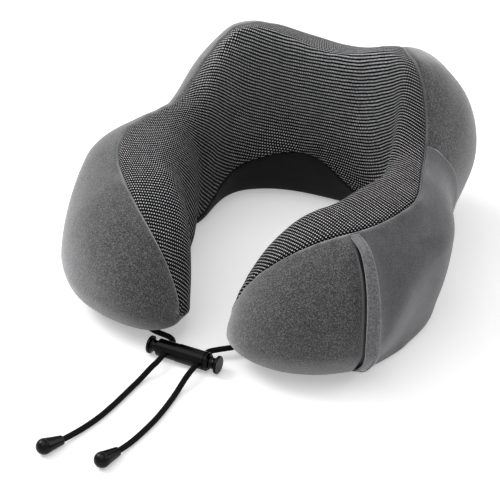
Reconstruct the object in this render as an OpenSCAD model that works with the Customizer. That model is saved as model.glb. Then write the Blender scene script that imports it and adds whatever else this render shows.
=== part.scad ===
// U-shaped neck pillow: a foam core in a sewn cover, with a knit top, velour sides,
// a flat pocket, a zip low on the back, and a drawstring with a two-ended cord lock.
// Millimetres. +Z is up, the opening faces -Y, and the pillow stands on z = 0.

/* [Pillow form, at each station round the neck] */
// Angles of the stations from the middle of the back, in degrees
station = [0, 40, 75, 105, 135]; // [0:1:135] each
// Radius of the inner wall
inner_r = [76, 80, 66, 56, 64]; // [50:1:90] each
// Radius of the crest
crest_r = [84, 90, 88, 86, 82]; // [80:1:96] each
// Radius of the outer wall
outer_r = [140, 140, 112, 132, 146]; // [108:1:150] each
// Height of the crest
crest_h = [122, 136, 92, 92, 90]; // [86:1:140] each
// Height at which the inner wall bulges most
inner_bulge_h = [62, 48, 48, 50, 56]; // [40:1:66] each
// Height at which the outer wall bulges most
outer_bulge_h = [74, 74, 62, 64, 28]; // [26:1:80] each
// How far the base is tucked in under the inner wall
inner_tuck = [18, 22, 12, 9, 10]; // [6:1:24] each
// How far the base is tucked in under the outer wall
outer_tuck = [14, 14, 22, 18, 26]; // [10:1:28] each

/* [Pillow] */
// Exponents of the section's four quadrants, from the inner base round to the outer one
quadrant = [2.0, 2.6, 2.0, 1.6]; // [1.4:0.1:3] each
// How far the neck's centre lies behind the origin's line
neck_y = -7.5; // [-8:0.5:-7]
// Angle at which each lobe starts to round off into its nose
nose_from = 130; // [128:1:132]
// Angle of each nose's tip
nose_tip = 171; // [169:1:172]
// Radius from the neck's centre to each nose's tip
nose_r = 106; // [102:1:108]
// Height of each nose's tip
nose_h = 20; // [18:1:24]

/* [Cover] */
// Thickness of the padded cover fabrics
cover_t = 2; // [1.5:0.1:2.2]
// Depth of the foam's surface below the cover's outside
foam_inset = 2.6; // [2.5:0.1:3]
// Place of the seam between knit and velour on the section, at the middle of the back and on
seam_v = [2.6, 2.15, 2.1, 2.2, 2.2]; // [2.05:0.05:2.7] each
// How far the neck band has turned on the foam, in degrees
band_turn = -26; // [-30:1:0]
// Place of the neck band's upper edge on the section where it is highest
band_top_v = 0.89; // [0.7:0.01:0.95]
// Half the angle that the neck band covers
band_half = 64.5; // [60:0.5:66]

/* [Pocket] */
// Angle of the pocket's rear seam
pocket_from = 67; // [64:1:70]
// Angle of the pocket's mouth at the knit seam
pocket_mouth = 129; // [126:1:130]
// How much farther forward the mouth lies lower down, in degrees
pocket_lean = 5; // [0:0.5:6]
// Width of the mouth's folded hem, in degrees
hem_a = 3.4; // [2.6:0.1:4]
// Thickness of the pocket's fabric
pocket_t = 1.7; // [1.2:0.1:2]
// Thickness of the folded hem
hem_t = 2.9; // [2.4:0.1:3.2]

/* [Zip] */
// Height of the zip's upper and lower tape edges on the back wall
zip_z = [20, 10]; // [8:1:24] each
// Half the angle of the zip's row of teeth
zip_half = 32.4; // [28:0.2:33]
// Angle at which the slider is parked
slider_at = 30; // [20:1:30]
// Distance from one tooth to the next
tooth_pitch = 2.5; // [2.2:0.1:3]
// Length of the slider
slider_l = 10; // [8:0.5:10]
// Length of the pull tab
pull_l = 22; // [16:1:26]

/* [Cord lock] */
// Where the lock lies: the middle of its barrel
lock_at = [-5.5, -129.5, 6.2]; // [-135:0.1:10] each
// Length of the barrel
barrel_l = 36; // [35:0.5:36.4]
// Outer radius of the barrel's plain end
barrel_r = 5.6; // [5.4:0.1:5.7]
// Outer radius of the barrel's sleeve
sleeve_r = 5.9; // [5.7:0.1:6]
// Radius of the barrel's bore
bore_r = 3.9; // [3.8:0.05:4]
// Radius of the plungers' stems
stem_r = 3.6; // [3.4:0.05:3.65]
// Length of a plunger
plunger_l = 20.5; // [20:0.5:20.5]
// Radius of the plungers' discs
knob_r = 5.75; // [5.2:0.05:5.9]
// Travel of a plunger
plunger_travel = 2; // [1:0.1:2]
// Distance from a cord's axis to the lock's end
cord_u = 13; // [12.8:0.1:13.2]

/* [Cords and bells] */
// Diameter of the drawstring
cord_d = 3.6; // [3:0.1:3.8]
// Radius of the bells' narrow end
bell_small_r = 2.9; // [2.8:0.1:3]
// Radius of the bells' wide end
bell_big_r = 4.7; // [4.5:0.1:4.8]
// Length of a bell without its cap
bell_l = 12; // [11:0.5:12]

/* [Hidden] */
$fn = 48;

// Ring and lane counts of the cover's grid, from the middle of the back to one tip and
// from the inner base edge round over the crest and back under the base.
back_rings = 5;
lobe_rings = 14;
nose_rings = 7;
rings = back_rings + lobe_rings + nose_rings;
zip_panel_a = 35;
band_lanes = 2;
waist_lane = band_lanes + 2;
crest_lane = waist_lane + 6;
seam_lane = crest_lane + 2;
zip_lane = seam_lane + 7;
strip_lane = zip_lane + 1;
base_lane = strip_lane + 2;
lanes = base_lane + 2;
least_band_v = 0.12;

// Left cord: out of the left nose's underside, through the lock and along the ground.
left_route = [
    [-37.8, -117.4, 8.9], [-34, -117.4, 7.4], [-30, -117.3, 6.6], [-26, -117.3, 6.2],
    [-22, -118, 6.2], [-18.6, -120.4, 6.2], [-17, -124.4, 6.2], [-17, -134, 6.2],
    [-17, -143, 6.2], [-18.2, -148, 5.5], [-20.4, -154, 3.6], [-22.2, -160, 2.4],
    [-23.6, -166, 2.1], [-25.2, -176, 2.1], [-27.1, -188, 2.1], [-28.7, -200, 2.1],
    [-30.4, -213, 2.3], [-32.6, -226.7, 3.2], [-35.4, -233.1, 4.3]];
// Right cord: out of the right nose's underside and behind the right plunger.
right_route = [
    [31.7, -104.8, 8.7], [28.5, -105.1, 7.8], [25, -105.5, 7], [21, -107, 6.4],
    [17.9, -110.2, 6.2], [15.2, -112.6, 6.2], [12, -115.2, 6.2], [8.9, -117.9, 6.2],
    [7.3, -119.6, 6.2], [6.3, -121.7, 6.2], [6, -124, 6.2], [6, -134, 6.2], [6, -143, 6.2],
    [5.2, -149, 5.3], [3.9, -155, 3.5], [3, -161, 2.4], [2.6, -167, 2.1], [2.4, -176, 2.1],
    [2, -185, 2.1], [1.6, -194, 2.1], [1.2, -204, 2.1], [1.1, -212, 2.3],
    [1.4, -221.1, 3.2], [-0.4, -227.9, 4.3]];

// Where each bell's narrow face is, its heading about Z and its rise
bell_left_at = [-32.6, -226.7, 3.2];
bell_left_heading = -24;
bell_right_at = [1.4, -221.1, 3.2];
bell_right_heading = -15;
bell_rise = 9.2;

// ---- The pillow's surface ----

// Cosine blend from 0 to 1
function ease(t) = (1 - cos(180 * t)) / 2;

// Value of a station list at angle a
function at_angle(values, a) =
    let (b = min(abs(a), nose_from))
    let (i = max([for (k = [0 : len(station) - 2]) if (b >= station[k]) k]))
    let (t = (b - station[i]) / (station[i + 1] - station[i]))
    values[i] + (values[i + 1] - values[i]) * ease(t);

// Quadrant law: a sine or cosine raised to 2 / n
function squarish(x, n) = pow(max(x, 0), 2 / n);

// Radius and height of the section at angle a and place v, inset by k, or outset if k < 0,
// but never below the base.
// v runs 0..1 up the inner wall, ..2 to the crest, ..3 down to the outer bulge,
// ..4 to the base's outer edge and ..5 back across the flat base.
function section(a, v, k) =
    let (ri = at_angle(inner_r, a) + k)
    let (rc = at_angle(crest_r, a))
    let (ro = at_angle(outer_r, a) - k)
    let (h = at_angle(crest_h, a) - k)
    let (zi = at_angle(inner_bulge_h, a))
    let (zo = at_angle(outer_bulge_h, a))
    let (base_in = ri + at_angle(inner_tuck, a))
    let (base_out = ro - at_angle(outer_tuck, a))
    let (low = max(k, 0))
    let (q = 90 * (v - floor(v)))
    v >= 4 ? [base_out + (base_in - base_out) * (v - 4), low] :
    v >= 3 ? [base_out + (ro - base_out) * squarish(cos(q), quadrant[3]),
              zo - (zo - low) * squarish(sin(q), quadrant[3])] :
    v >= 2 ? [rc + (ro - rc) * squarish(sin(q), quadrant[2]),
              zo + (h - zo) * squarish(cos(q), quadrant[2])] :
    v >= 1 ? [rc - (rc - ri) * squarish(cos(q), quadrant[1]),
              zi + (h - zi) * squarish(sin(q), quadrant[1])] :
             [base_in - (base_in - ri) * squarish(sin(q), quadrant[0]),
              zi - (zi - low) * squarish(cos(q), quadrant[0])];

// Point of the surface. Past nose_from the section shrinks to the nose's tip along an
// ellipse, and an inset shortens the nose by the same depth.
function surface_point(a, v, k) =
    let (rz = section(a, v, k))
    let (reach = nose_tip - nose_from)
    let (t = max(0, (abs(a) - nose_from) / reach))
    let (s = sqrt(max(0, 1 - t * t)))
    let (r = nose_r + (rz[0] - nose_r) * s)
    let (z = nose_h + (rz[1] - nose_h) * s)
    let (shorten = t * k / nose_r * 180 / PI)
    let (b = sign(a) * (abs(a) - shorten))
    [r * sin(b), neck_y + r * cos(b), z];

// Place on the section of height z on the lower back wall
function wall_v(z) = 3 + asin(pow(1 - z / outer_bulge_h[0], quadrant[3] / 2)) / 90;
zip_v = [wall_v(zip_z[0]), wall_v(zip_z[1])];

// Place of the neck band's upper edge at angle a
function band_v(a) =
    let (turned = (a - band_turn) / band_half)
    max(least_band_v, band_top_v - (band_top_v - least_band_v) * turned * turned);

// Angle of ring i, counted from the middle of the back
function ring_angle(i) =
    let (k = abs(i))
    let (lobe_a = (nose_from - zip_panel_a) / lobe_rings)
    let (q = 90 * (k - back_rings - lobe_rings) / nose_rings)
    sign(i) * (k <= back_rings ? zip_panel_a * k / back_rings :
               k <= back_rings + lobe_rings ? zip_panel_a + lobe_a * (k - back_rings) :
               nose_from + (nose_tip - nose_from) * sin(q));

// Place on the section of lane line j at angle a
function lane_v(a, j) =
    let (band = band_v(a))
    let (seam = at_angle(seam_v, a))
    j <= band_lanes ? band * j / band_lanes :
    j <= waist_lane ? between(band, 1, j, band_lanes, waist_lane) :
    j <= crest_lane ? between(1, 2, j, waist_lane, crest_lane) :
    j <= seam_lane ? between(2, seam, j, crest_lane, seam_lane) :
    j <= zip_lane ? between(seam, zip_v[0], j, seam_lane, zip_lane) :
    j <= strip_lane ? zip_v[1] :
    j <= base_lane ? between(zip_v[1], 4, j, strip_lane, base_lane) :
    between(4, 5, j, base_lane, lanes);
function between(v0, v1, j, j0, j1) = v0 + (v1 - v0) * (j - j0) / (j1 - j0);

// One closed layer of grid points inset by k, ending with the two tips
function grid_points(k) = concat(
    [for (i = [1 - rings : rings - 1]) for (j = [0 : lanes])
        surface_point(ring_angle(i), lane_v(ring_angle(i), j), k)],
    [surface_point(-nose_tip, 0, k), surface_point(nose_tip, 0, k)]);
layer = (2 * rings - 1) * (lanes + 1) + 2;

// Index of grid point i, j: all lanes of the last ring meet in the tip
function at_grid(i, j) =
    i == -rings ? layer - 2 :
    i == rings ? layer - 1 :
    (i + rings - 1) * (lanes + 1) + j;

// Faces with three different corners
function sound(faces) =
    [for (f = faces) if (f[0] != f[1] && f[1] != f[2] && f[2] != f[0]) f];

// Two triangles of a cell, seen from outside
function cell(a, b, c, d) = [[a, b, c], [a, c, d]];

// Two triangles of the wall from a-b down to the inner layer, on one diagonal both ways
function wall(a, b, forward) = forward
    ? [[a, b, b + layer], [a, b + layer, a + layer]]
    : [[b, a, b + layer], [a, a + layer, b + layer]];

// A shell of the cover: the cells for which has(i, j) is true, cover_t thick
module cover_piece(has) {
    cells = [for (i = [-rings : rings - 1]) for (j = [0 : lanes - 1]) if (has(i, j)) [i, j]];
    faces = [for (c = cells)
        let (i = c[0])
        let (j = c[1])
        let (p = [at_grid(i, j), at_grid(i + 1, j), at_grid(i + 1, j + 1), at_grid(i, j + 1)])
        let (q = [for (x = p) x + layer])
        each concat(
            cell(p[0], p[1], p[2], p[3]),
            cell(q[0], q[3], q[2], q[1]),
            j > 0 && has(i, j - 1) ? [] : wall(p[0], p[1], false),
            j < lanes - 1 && has(i, j + 1) ? [] : wall(p[3], p[2], true),
            i > -rings && has(i - 1, j) ? [] : wall(p[0], p[3], true),
            i < rings - 1 && has(i + 1, j) ? [] : wall(p[1], p[2], false))];
    polyhedron(concat(grid_points(0), grid_points(cover_t)), sound(faces));
}

// Cell column counted from the middle of the back on either side
function column(i) = i < 0 ? -1 - i : i;
function in_band(i, j) =
    j < band_lanes
    && abs((ring_angle(i) + ring_angle(i + 1)) / 2 - band_turn) < band_half;
function in_side(i, j) =
    j >= seam_lane && j < zip_lane
    || j >= zip_lane && j < base_lane && column(i) >= back_rings
    || j >= base_lane && column(i) >= back_rings + lobe_rings;

// ---- Foam and cover ----

module foam_core() {
    color("gainsboro")
        polyhedron(grid_points(foam_inset), sound([
            for (i = [-rings : rings - 1]) for (j = [0 : lanes - 1])
                let (n = (j + 1) % lanes)
                each cell(at_grid(i, j), at_grid(i + 1, j), at_grid(i + 1, n), at_grid(i, n))]));
}

module knit_panel() {
    color("#2b2b2d") cover_piece(function (i, j) j < seam_lane && !in_band(i, j));
}

module neck_panel() {
    color("#18171c") cover_piece(function (i, j) in_band(i, j));
}

module side_panel_left() {
    color("#4b4b4c") cover_piece(function (i, j) i < 0 && in_side(i, j));
}

module side_panel_right() {
    color("#4b4b4c") cover_piece(function (i, j) i >= 0 && in_side(i, j));
}

module zip_strip() {
    color("#4b4b4c")
        cover_piece(function (i, j) column(i) < back_rings && j >= strip_lane && j < base_lane);
}

// Flat panel under the pillow, as far as the noses
module base_panel() {
    last = back_rings + lobe_rings;
    angles = [for (i = [-last : last]) ring_angle(i)];
    outer = [for (a = angles) flat_point(a, section(a, 4, cover_t)[0])];
    inner = [for (k = [len(angles) - 1 : -1 : 0])
        flat_point(angles[k], section(angles[k], 5, cover_t)[0])];
    color("#202023")
        linear_extrude(cover_t)
            polygon(concat(outer, inner));
}
function flat_point(a, r) = [r * sin(a), neck_y + r * cos(a)];

// ---- Pocket ----

pocket_columns = 12;
pocket_rows = 10;
pocket_gap = 0.3;
pocket_sink = 0.6;
pocket_low_v = 3.85;
lean_span_v = 0.8;

// Place on the section of pocket row j: it starts just under the knit seam
function pocket_v(j) =
    let (top = 2.25)
    top + (pocket_low_v - top) * j / pocket_rows;

// Angle of the mouth at row j
function mouth_a(j) =
    pocket_mouth + pocket_lean * ease(min(1, (pocket_v(j) - pocket_v(0)) / lean_span_v));

// Slab over the pillow's surface. edges(i, j) is true where it is sewn down, and there
// its inner face sinks into the panel below.
module patch(columns, from_a, to_a, thick, edges) {
    rows = pocket_rows;
    function angle(i, j) = from_a(j) + (to_a(j) - from_a(j)) * i / columns;
    function under(i, j) = edges(i, j) ? pocket_sink : -pocket_gap;
    count = (columns + 1) * (rows + 1);
    function id(i, j) = i * (rows + 1) + j;
    points = concat(
        [for (i = [0 : columns]) for (j = [0 : rows])
            surface_point(angle(i, j), pocket_v(j), -pocket_gap - thick)],
        [for (i = [0 : columns]) for (j = [0 : rows])
            surface_point(angle(i, j), pocket_v(j), under(i, j))]);
    faces = concat(
        [for (i = [0 : columns - 1]) for (j = [0 : rows - 1])
            each cell(id(i, j), id(i + 1, j), id(i + 1, j + 1), id(i, j + 1))],
        [for (i = [0 : columns - 1]) for (j = [0 : rows - 1])
            each cell(id(i, j) + count, id(i, j + 1) + count,
                id(i + 1, j + 1) + count, id(i + 1, j) + count)],
        [for (i = [0 : columns - 1]) each skirt(id(i + 1, 0), id(i, 0), count)],
        [for (i = [0 : columns - 1]) each skirt(id(i, rows), id(i + 1, rows), count)],
        [for (j = [0 : rows - 1]) each skirt(id(0, j), id(0, j + 1), count)],
        [for (j = [0 : rows - 1]) each skirt(id(columns, j + 1), id(columns, j), count)]);
    polyhedron(points, faces);
}
function skirt(a, b, count) = [[a, b, b + count], [a, b + count, a + count]];

// Velour pocket over the right lobe, sewn down on three sides
module pocket_panel() {
    color("#4b4b4c")
        patch(pocket_columns, function (j) pocket_from, function (j) mouth_a(j) - hem_a,
            pocket_t, function (i, j) i == 0 || j == 0 || j == pocket_rows);
}

// Folded edge of the pocket's mouth
module pocket_hem() {
    color("#4b4b4c")
        patch(1, function (j) mouth_a(j) - hem_a, function (j) mouth_a(j),
            hem_t, function (i, j) j == 0 || j == pocket_rows);
}

// ---- Zip ----

zip_top = section(0, zip_v[0], 0);
zip_low = section(0, zip_v[1], 0);
zip_mid = (zip_top + zip_low) / 2;
zip_tilt = atan2(zip_top[0] - zip_low[0], zip_top[1] - zip_low[1]);
tape_edge = norm(zip_top - zip_low) / 2;
tape_lap = 0.3;
tape_end_a = zip_panel_a + 0.3;
tape_t = 0.6;
tape_gap = 0.9;
tooth_gap = 0.45;
tooth_reach = 2.4;
tooth_t = 2;
tooth_w = 1.3;
tooth_a = tooth_pitch / zip_mid[0] * 180 / PI;
plate_in = 1.3;
plate_t = 1;
back_plate_t = 0.8;
plate_w = 8;
lip_from = 2.9;
lip_under = 0.6;
bridge_w = 1.4;
bridge_l = 7;
bridge_gap = 1.5;
bridge_t = 0.8;
pull_t = 0.9;
pull_w = 5;
pull_arm = 1.4;
pull_hole = 4.3;
pull_at = plate_in + plate_t + bridge_gap / 2;

// Place on the zip's line at angle a: X along the zip, Y outward, Z up the wall
module on_zip(a) {
    translate([0, neck_y, 0]) rotate([0, 0, -a])
        translate([0, zip_mid[0], zip_mid[1]]) rotate([-zip_tilt, 0, 0])
            children();
}

// A strip of constant section along the whole zip
module along_zip() {
    translate([0, neck_y, 0]) rotate([0, 0, 90 - tape_end_a])
        rotate_extrude(angle = 2 * tape_end_a, $fn = 96)
            translate(zip_mid) rotate(-zip_tilt)
                children();
}

// One tape: side is 1 above the teeth and -1 below them
module zip_tape(side) {
    width = tape_edge + tape_lap - tape_gap;
    color("#232326")
        along_zip()
            translate([-tape_t / 2, side > 0 ? tape_gap : -tape_gap - width])
                square([tape_t, width]);
}
module zip_tape_upper() zip_tape(1);
module zip_tape_lower() zip_tape(-1);

// One row of coil teeth. The lower row lies half a pitch on.
module zip_teeth(side) {
    count = floor(2 * zip_half / tooth_a);
    shift = side > 0 ? 0 : tooth_a / 2;
    color("#2d2d31")
        for (k = [0 : count - 1])
            on_zip(-zip_half + shift + k * tooth_a)
                translate([-tooth_w / 2, -tooth_t / 2, side > 0 ? tooth_gap : -tooth_reach])
                    cube([tooth_w, tooth_t, tooth_reach - tooth_gap]);
}
module zip_teeth_upper() zip_teeth(1);
module zip_teeth_lower() zip_teeth(-1);

// Box at the zip's closed-off end, round both tapes
module zip_stop_left() {
    box = [2.4, tooth_t + 0.4, 2 * tooth_reach];
    color("#9a9aa0") on_zip(-zip_half - 1.2) translate(-box / 2) cube(box);
}

// Pair of clips past the parked slider, one on each tape
module zip_stop_right() {
    clip = [1.6, tooth_t + 0.2, tooth_reach - tooth_gap];
    color("#9a9aa0")
        for (z = [tooth_gap, -tooth_reach])
            on_zip(zip_half + 1.2) translate([-clip[0] / 2, -clip[1] / 2, z]) cube(clip);
}

// Plan of a slider plate, round at its ends, set to extrude outward
module slider_plate(y, thick) {
    translate([0, y, 0]) rotate([-90, 0, 0])
        linear_extrude(thick)
            intersection() {
                square([slider_l, plate_w], center = true);
                circle(r = slider_l * 0.55);
            }
}

// Slider: two plates joined between the rows of teeth, with lips that guide the tapes
// and a bridge that holds the pull
module zip_slider() {
    lip_l = slider_l * 0.6;
    lip_w = plate_w / 2 - lip_from;
    divider = [slider_l * 0.4, 2 * plate_in + 0.2, 0.4];
    front = plate_in + plate_t;
    color("#8d8d93")
        on_zip(slider_at) {
            slider_plate(plate_in, plate_t);
            slider_plate(-plate_in - back_plate_t, back_plate_t);
            translate(-divider / 2) cube(divider);
            for (z = [lip_from, -lip_from - lip_w], y = [lip_under, -plate_in - 0.1])
                translate([-lip_l / 2, y, z]) cube([lip_l, plate_in - lip_under + 0.1, lip_w]);
            difference() {
                translate([-bridge_l / 2, front - 0.2, -bridge_w / 2])
                    cube([bridge_l, bridge_gap + bridge_t + 0.2, bridge_w]);
                translate([-bridge_l / 2 + bridge_t, front, -bridge_w])
                    cube([bridge_l - 2 * bridge_t, bridge_gap, 2 * bridge_w]);
            }
        }
}

// Pull tab that swings on a round bar under the slider's bridge, lying flat along the zip
module zip_pull() {
    color("#8d8d93")
        on_zip(slider_at)
            translate([0, pull_at - pull_t / 2, 0]) rotate([-90, 0, 0]) {
                linear_extrude(pull_t)
                    difference() {
                        union() {
                            translate([-pull_l + pull_w / 2, -pull_w / 2])
                                square([pull_l - pull_w / 2, pull_w]);
                            translate([-pull_l + pull_w / 2, 0]) circle(d = pull_w);
                        }
                        translate([-pull_hole - pull_t / 2, -pull_w / 2 + pull_arm])
                            square([pull_hole + pull_t, pull_w - 2 * pull_arm]);
                        translate([-pull_l + pull_w / 2, 0]) circle(d = pull_w * 0.36);
                    }
                translate([0, -pull_w / 2, pull_t / 2]) rotate([-90, 0, 0])
                    cylinder(d = pull_t, h = pull_w);
            }
}

// ---- Tubes along a route ----

function unit(v) = v / norm(v);

// Direction of the route at point i
function heading(route, i) =
    unit(route[min(i + 1, len(route) - 1)] - route[max(i - 1, 0)]);

// Ring of points round point i, square to the route. ref is never along the route.
function ring(route, i, r, sides, ref) =
    let (t = heading(route, i))
    let (u = unit(cross(t, ref)))
    let (w = cross(u, t))
    [for (k = [0 : sides - 1])
        let (q = 360 * k / sides)
        route[i] + r * (u * cos(q) + w * sin(q))];

// Closed tube of radius r along the route
module tube(route, r, sides, ref = [0, 0, 1]) {
    last = len(route) - 1;
    points = [for (i = [0 : last]) each ring(route, i, r, sides, ref)];
    walls = [for (i = [0 : last - 1]) for (k = [0 : sides - 1])
        let (n = (k + 1) % sides)
        each [[i * sides + k, i * sides + n, (i + 1) * sides + n],
              [i * sides + k, (i + 1) * sides + n, (i + 1) * sides + k]]];
    polyhedron(points, concat(walls,
        [[for (k = [sides - 1 : -1 : 0]) k]],
        [[for (k = [0 : sides - 1]) last * sides + k]]));
}

module cord_left() {
    color("#131315") tube(left_route, cord_d / 2, 8);
}

module cord_right() {
    color("#131315") tube(right_route, cord_d / 2, 8);
}

// ---- Cord lock ----

cord_hole_r = 2.2;
sleeve_from = 13.8;
chamfer = 0.4;
ring_w = 2.4;
groove_w = 0.8;
disc_t = 1.7;
neck_from = 4.2;
slot_l = cord_d + plunger_travel + 0.4;
slot_h = 4;
cord_apart = 23;
lock_half = cord_u + cord_apart / 2;
spring_half = lock_half - plunger_l;
spring_r = 2.9;
wire_r = 0.3;
spring_turns = 5;

// Lock's own frame: Z along the barrel towards the right, origin in its middle
module in_lock() {
    translate(lock_at) rotate([0, 90, 0]) children();
}

// Barrel with a plain end, a stepped sleeve and a bevelled end ring
module lock_barrel() {
    half = barrel_l / 2;
    step = -half + sleeve_from;
    ring_at = half - ring_w;
    color("#1b1b1e")
        in_lock() difference() {
            rotate_extrude()
                polygon([
                    [bore_r, -half], [barrel_r - chamfer, -half], [barrel_r, -half + chamfer],
                    [barrel_r, step], [sleeve_r, step + chamfer / 2],
                    [sleeve_r, ring_at - groove_w], [barrel_r - chamfer, ring_at - groove_w],
                    [barrel_r - chamfer, ring_at], [sleeve_r, ring_at],
                    [sleeve_r, ring_at + ring_w / 2], [barrel_r - 2 * chamfer, half],
                    [bore_r, half]]);
            for (side = [-1, 1])
                translate([0, 0, side * (lock_half - cord_u)])
                    rotate([90, 0, 0]) cylinder(r = cord_hole_r, h = 4 * barrel_r, center = true);
        }
}

// Plunger: a flared disc on a stem, with a slot that the cord runs through.
// Z points into the barrel from the disc's face.
module plunger() {
    flare_r = 2.6;
    difference() {
        union() {
            rotate_extrude()
                difference() {
                    union() {
                        translate([0, chamfer]) square([knob_r, disc_t - chamfer]);
                        square([knob_r - chamfer, disc_t]);
                        translate([0, disc_t]) square([knob_r, neck_from - disc_t]);
                    }
                    translate([stem_r + flare_r, neck_from]) circle(r = flare_r);
                }
            cylinder(r = stem_r, h = plunger_l);
        }
        translate([-slot_h / 2, -knob_r, cord_u - plunger_travel - cord_d / 2 - 0.2])
            cube([slot_h, 2 * knob_r, slot_l]);
    }
}

module lock_plunger_left() {
    color("#151517") in_lock() translate([0, 0, -lock_half]) plunger();
}

module lock_plunger_right() {
    color("#151517") in_lock() mirror([0, 0, 1]) translate([0, 0, -lock_half]) plunger();
}

// Coil spring between the two stems
module lock_spring() {
    steps = 10;
    reach = spring_half - wire_r - 0.05;
    count = spring_turns * steps;
    coil = [for (k = [0 : count])
        [spring_r * cos(360 * k / steps), spring_r * sin(360 * k / steps),
         -reach + 2 * reach * k / count]];
    color("silver") in_lock() tube(coil, wire_r, 6, [0, 0, 1]);
}

// ---- Bell ends ----

bell_bore_r = 2;
bell_shoulder = 3;
bell_mouth_r = 3.6;
bell_mouth = 10;
cap_r = 4.9;
cap_centre = 12.4;
plug_l = 1.4;
knot_at = 7.1;
wrap_r = 1.4;

// Place a child at a bell's narrow face: Z points out to the cap
module at_bell(place, turn) {
    translate(place) rotate([0, 0, turn]) rotate([90 - bell_rise, 0, 0]) children();
}

// Cone with a bore for the cord, a widening hollow for the knot and a mouth for the cap
module bell() {
    color("#17171a")
        rotate_extrude()
            polygon([
                [bell_bore_r, 0], [bell_small_r - 0.3, 0], [bell_small_r, 0.4],
                [bell_big_r, bell_l - 0.8], [bell_big_r - 0.3, bell_l], [bell_mouth_r, bell_l],
                [bell_mouth_r, bell_mouth], [bell_mouth_r - 0.1, bell_mouth],
                [bell_mouth_r - 1, bell_shoulder], [bell_bore_r, bell_shoulder]]);
}

// Domed cap with a plug that snaps into the bell
module bell_cap() {
    plug_r = bell_mouth_r - 0.05;
    color("#1c1c20")
        rotate_extrude()
            union() {
                intersection() {
                    translate([0, cap_centre]) circle(r = cap_r);
                    translate([0, bell_l]) square([cap_r, cap_r + 1]);
                }
                translate([0, bell_l - plug_l]) square([plug_r, plug_l + 0.1]);
            }
}

// Overhand knot pulled tight: two wraps round the cord's end
module knot() {
    color("#131315")
        rotate_extrude()
            union() {
                for (z = [-1, 1]) translate([wrap_r, knot_at + z * wrap_r * 0.85]) circle(r = wrap_r);
                translate([0, knot_at - wrap_r * 1.7]) square([wrap_r, wrap_r * 3.4]);
            }
}

module bell_left() at_bell(bell_left_at, bell_left_heading) bell();
module bell_right() at_bell(bell_right_at, bell_right_heading) bell();
module bell_cap_left() at_bell(bell_left_at, bell_left_heading) bell_cap();
module bell_cap_right() at_bell(bell_right_at, bell_right_heading) bell_cap();
module knot_left() at_bell(bell_left_at, bell_left_heading) knot();
module knot_right() at_bell(bell_right_at, bell_right_heading) knot();

foam_core();
knit_panel();
neck_panel();
side_panel_left();
side_panel_right();
base_panel();
pocket_panel();
pocket_hem();
zip_strip();
zip_tape_upper();
zip_tape_lower();
zip_teeth_upper();
zip_teeth_lower();
zip_stop_left();
zip_stop_right();
zip_slider();
zip_pull();
cord_left();
cord_right();
lock_barrel();
lock_plunger_left();
lock_plunger_right();
lock_spring();
bell_left();
bell_right();
bell_cap_left();
bell_cap_right();
knot_left();
knot_right();
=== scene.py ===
"""U-shaped neck pillow, dressed: a foam core in a sewn cover with a two-tone knit top,
velour sides, a flat side pocket, a back zip and a drawstring with a two-ended lock.

Lengths are in millimetres until a mesh is made, and the frame is the CAD's own.
"""
import sys

import logging
import math
from collections.abc import Sequence
from dataclasses import dataclass, field
from enum import Enum

import bmesh
import bpy
import numpy as np
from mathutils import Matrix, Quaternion, Vector
from mathutils.bvhtree import BVHTree


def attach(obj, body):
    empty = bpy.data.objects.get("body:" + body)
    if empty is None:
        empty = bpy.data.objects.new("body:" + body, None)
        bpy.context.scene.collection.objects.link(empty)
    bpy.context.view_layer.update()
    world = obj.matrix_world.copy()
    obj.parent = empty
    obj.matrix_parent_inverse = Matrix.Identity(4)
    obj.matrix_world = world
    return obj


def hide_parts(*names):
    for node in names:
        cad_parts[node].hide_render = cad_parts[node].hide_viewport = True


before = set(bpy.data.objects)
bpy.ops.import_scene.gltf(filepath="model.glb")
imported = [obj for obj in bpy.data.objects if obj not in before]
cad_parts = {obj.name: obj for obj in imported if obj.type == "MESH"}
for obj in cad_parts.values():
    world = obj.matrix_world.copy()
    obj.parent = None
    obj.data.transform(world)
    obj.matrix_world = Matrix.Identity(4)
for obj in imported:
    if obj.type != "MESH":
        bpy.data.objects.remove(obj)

LOG = logging.getLogger("neck_pillow")
MM = 0.001
PHOTO_W = 500
PHOTO_H = 483
BODY = "pillow"
WHITE = "#ffffff"
WAVE_TURN = math.tau / 20  # a Wave texture of scale 1 repeats every 20 / tau
MIX_SHARE, MIX_FROM, MIX_TO, MIX_RESULT = 0, 6, 7, 2  # a colour Mix node's sockets
SAME_PLACE = 1e-6  # points nearer than this, in metres, are one
FLAT_SHARE = 1e-7  # a corner of less area than this, against the largest, has no normal
TINY = 1e-12
LATTICE = 32  # corners along each side of the random lattice, which then repeats
LATTICE_START = 7.3  # keeps the pillow's middle off the lattice's own planes

# Image points, in the photograph's frame. The first four are the pillow's own outline,
# without its cords.
IMAGE_EDGES = {"left": 61.8, "right": 476.4, "top": 21.0, "bottom": 373.7}
IMAGE_POINTS = {
    "lock_left_knob": (151.5, 347.1),
    "lock_right_knob": (215.8, 363.2),
    "bell_left": (53.0, 443.5),
    "bell_right": (110.5, 455.5),
    "seam_right_hump": (421.6, 96.5),
    "seam_left_hump": (121.0, 148.0),
    "seam_left_low": (176.5, 289.8),
    "seam_right_front": (271.4, 263.8),
    "pocket_mouth": (366.8, 318.0),
    "pocket_rear_seam": (448.0, 167.0),
    "neck_band_edge": (320.0, 164.0),
    "hem_stitch": (378.0, 300.0),
}


# ---------------------------------------------------------------- camera

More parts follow.
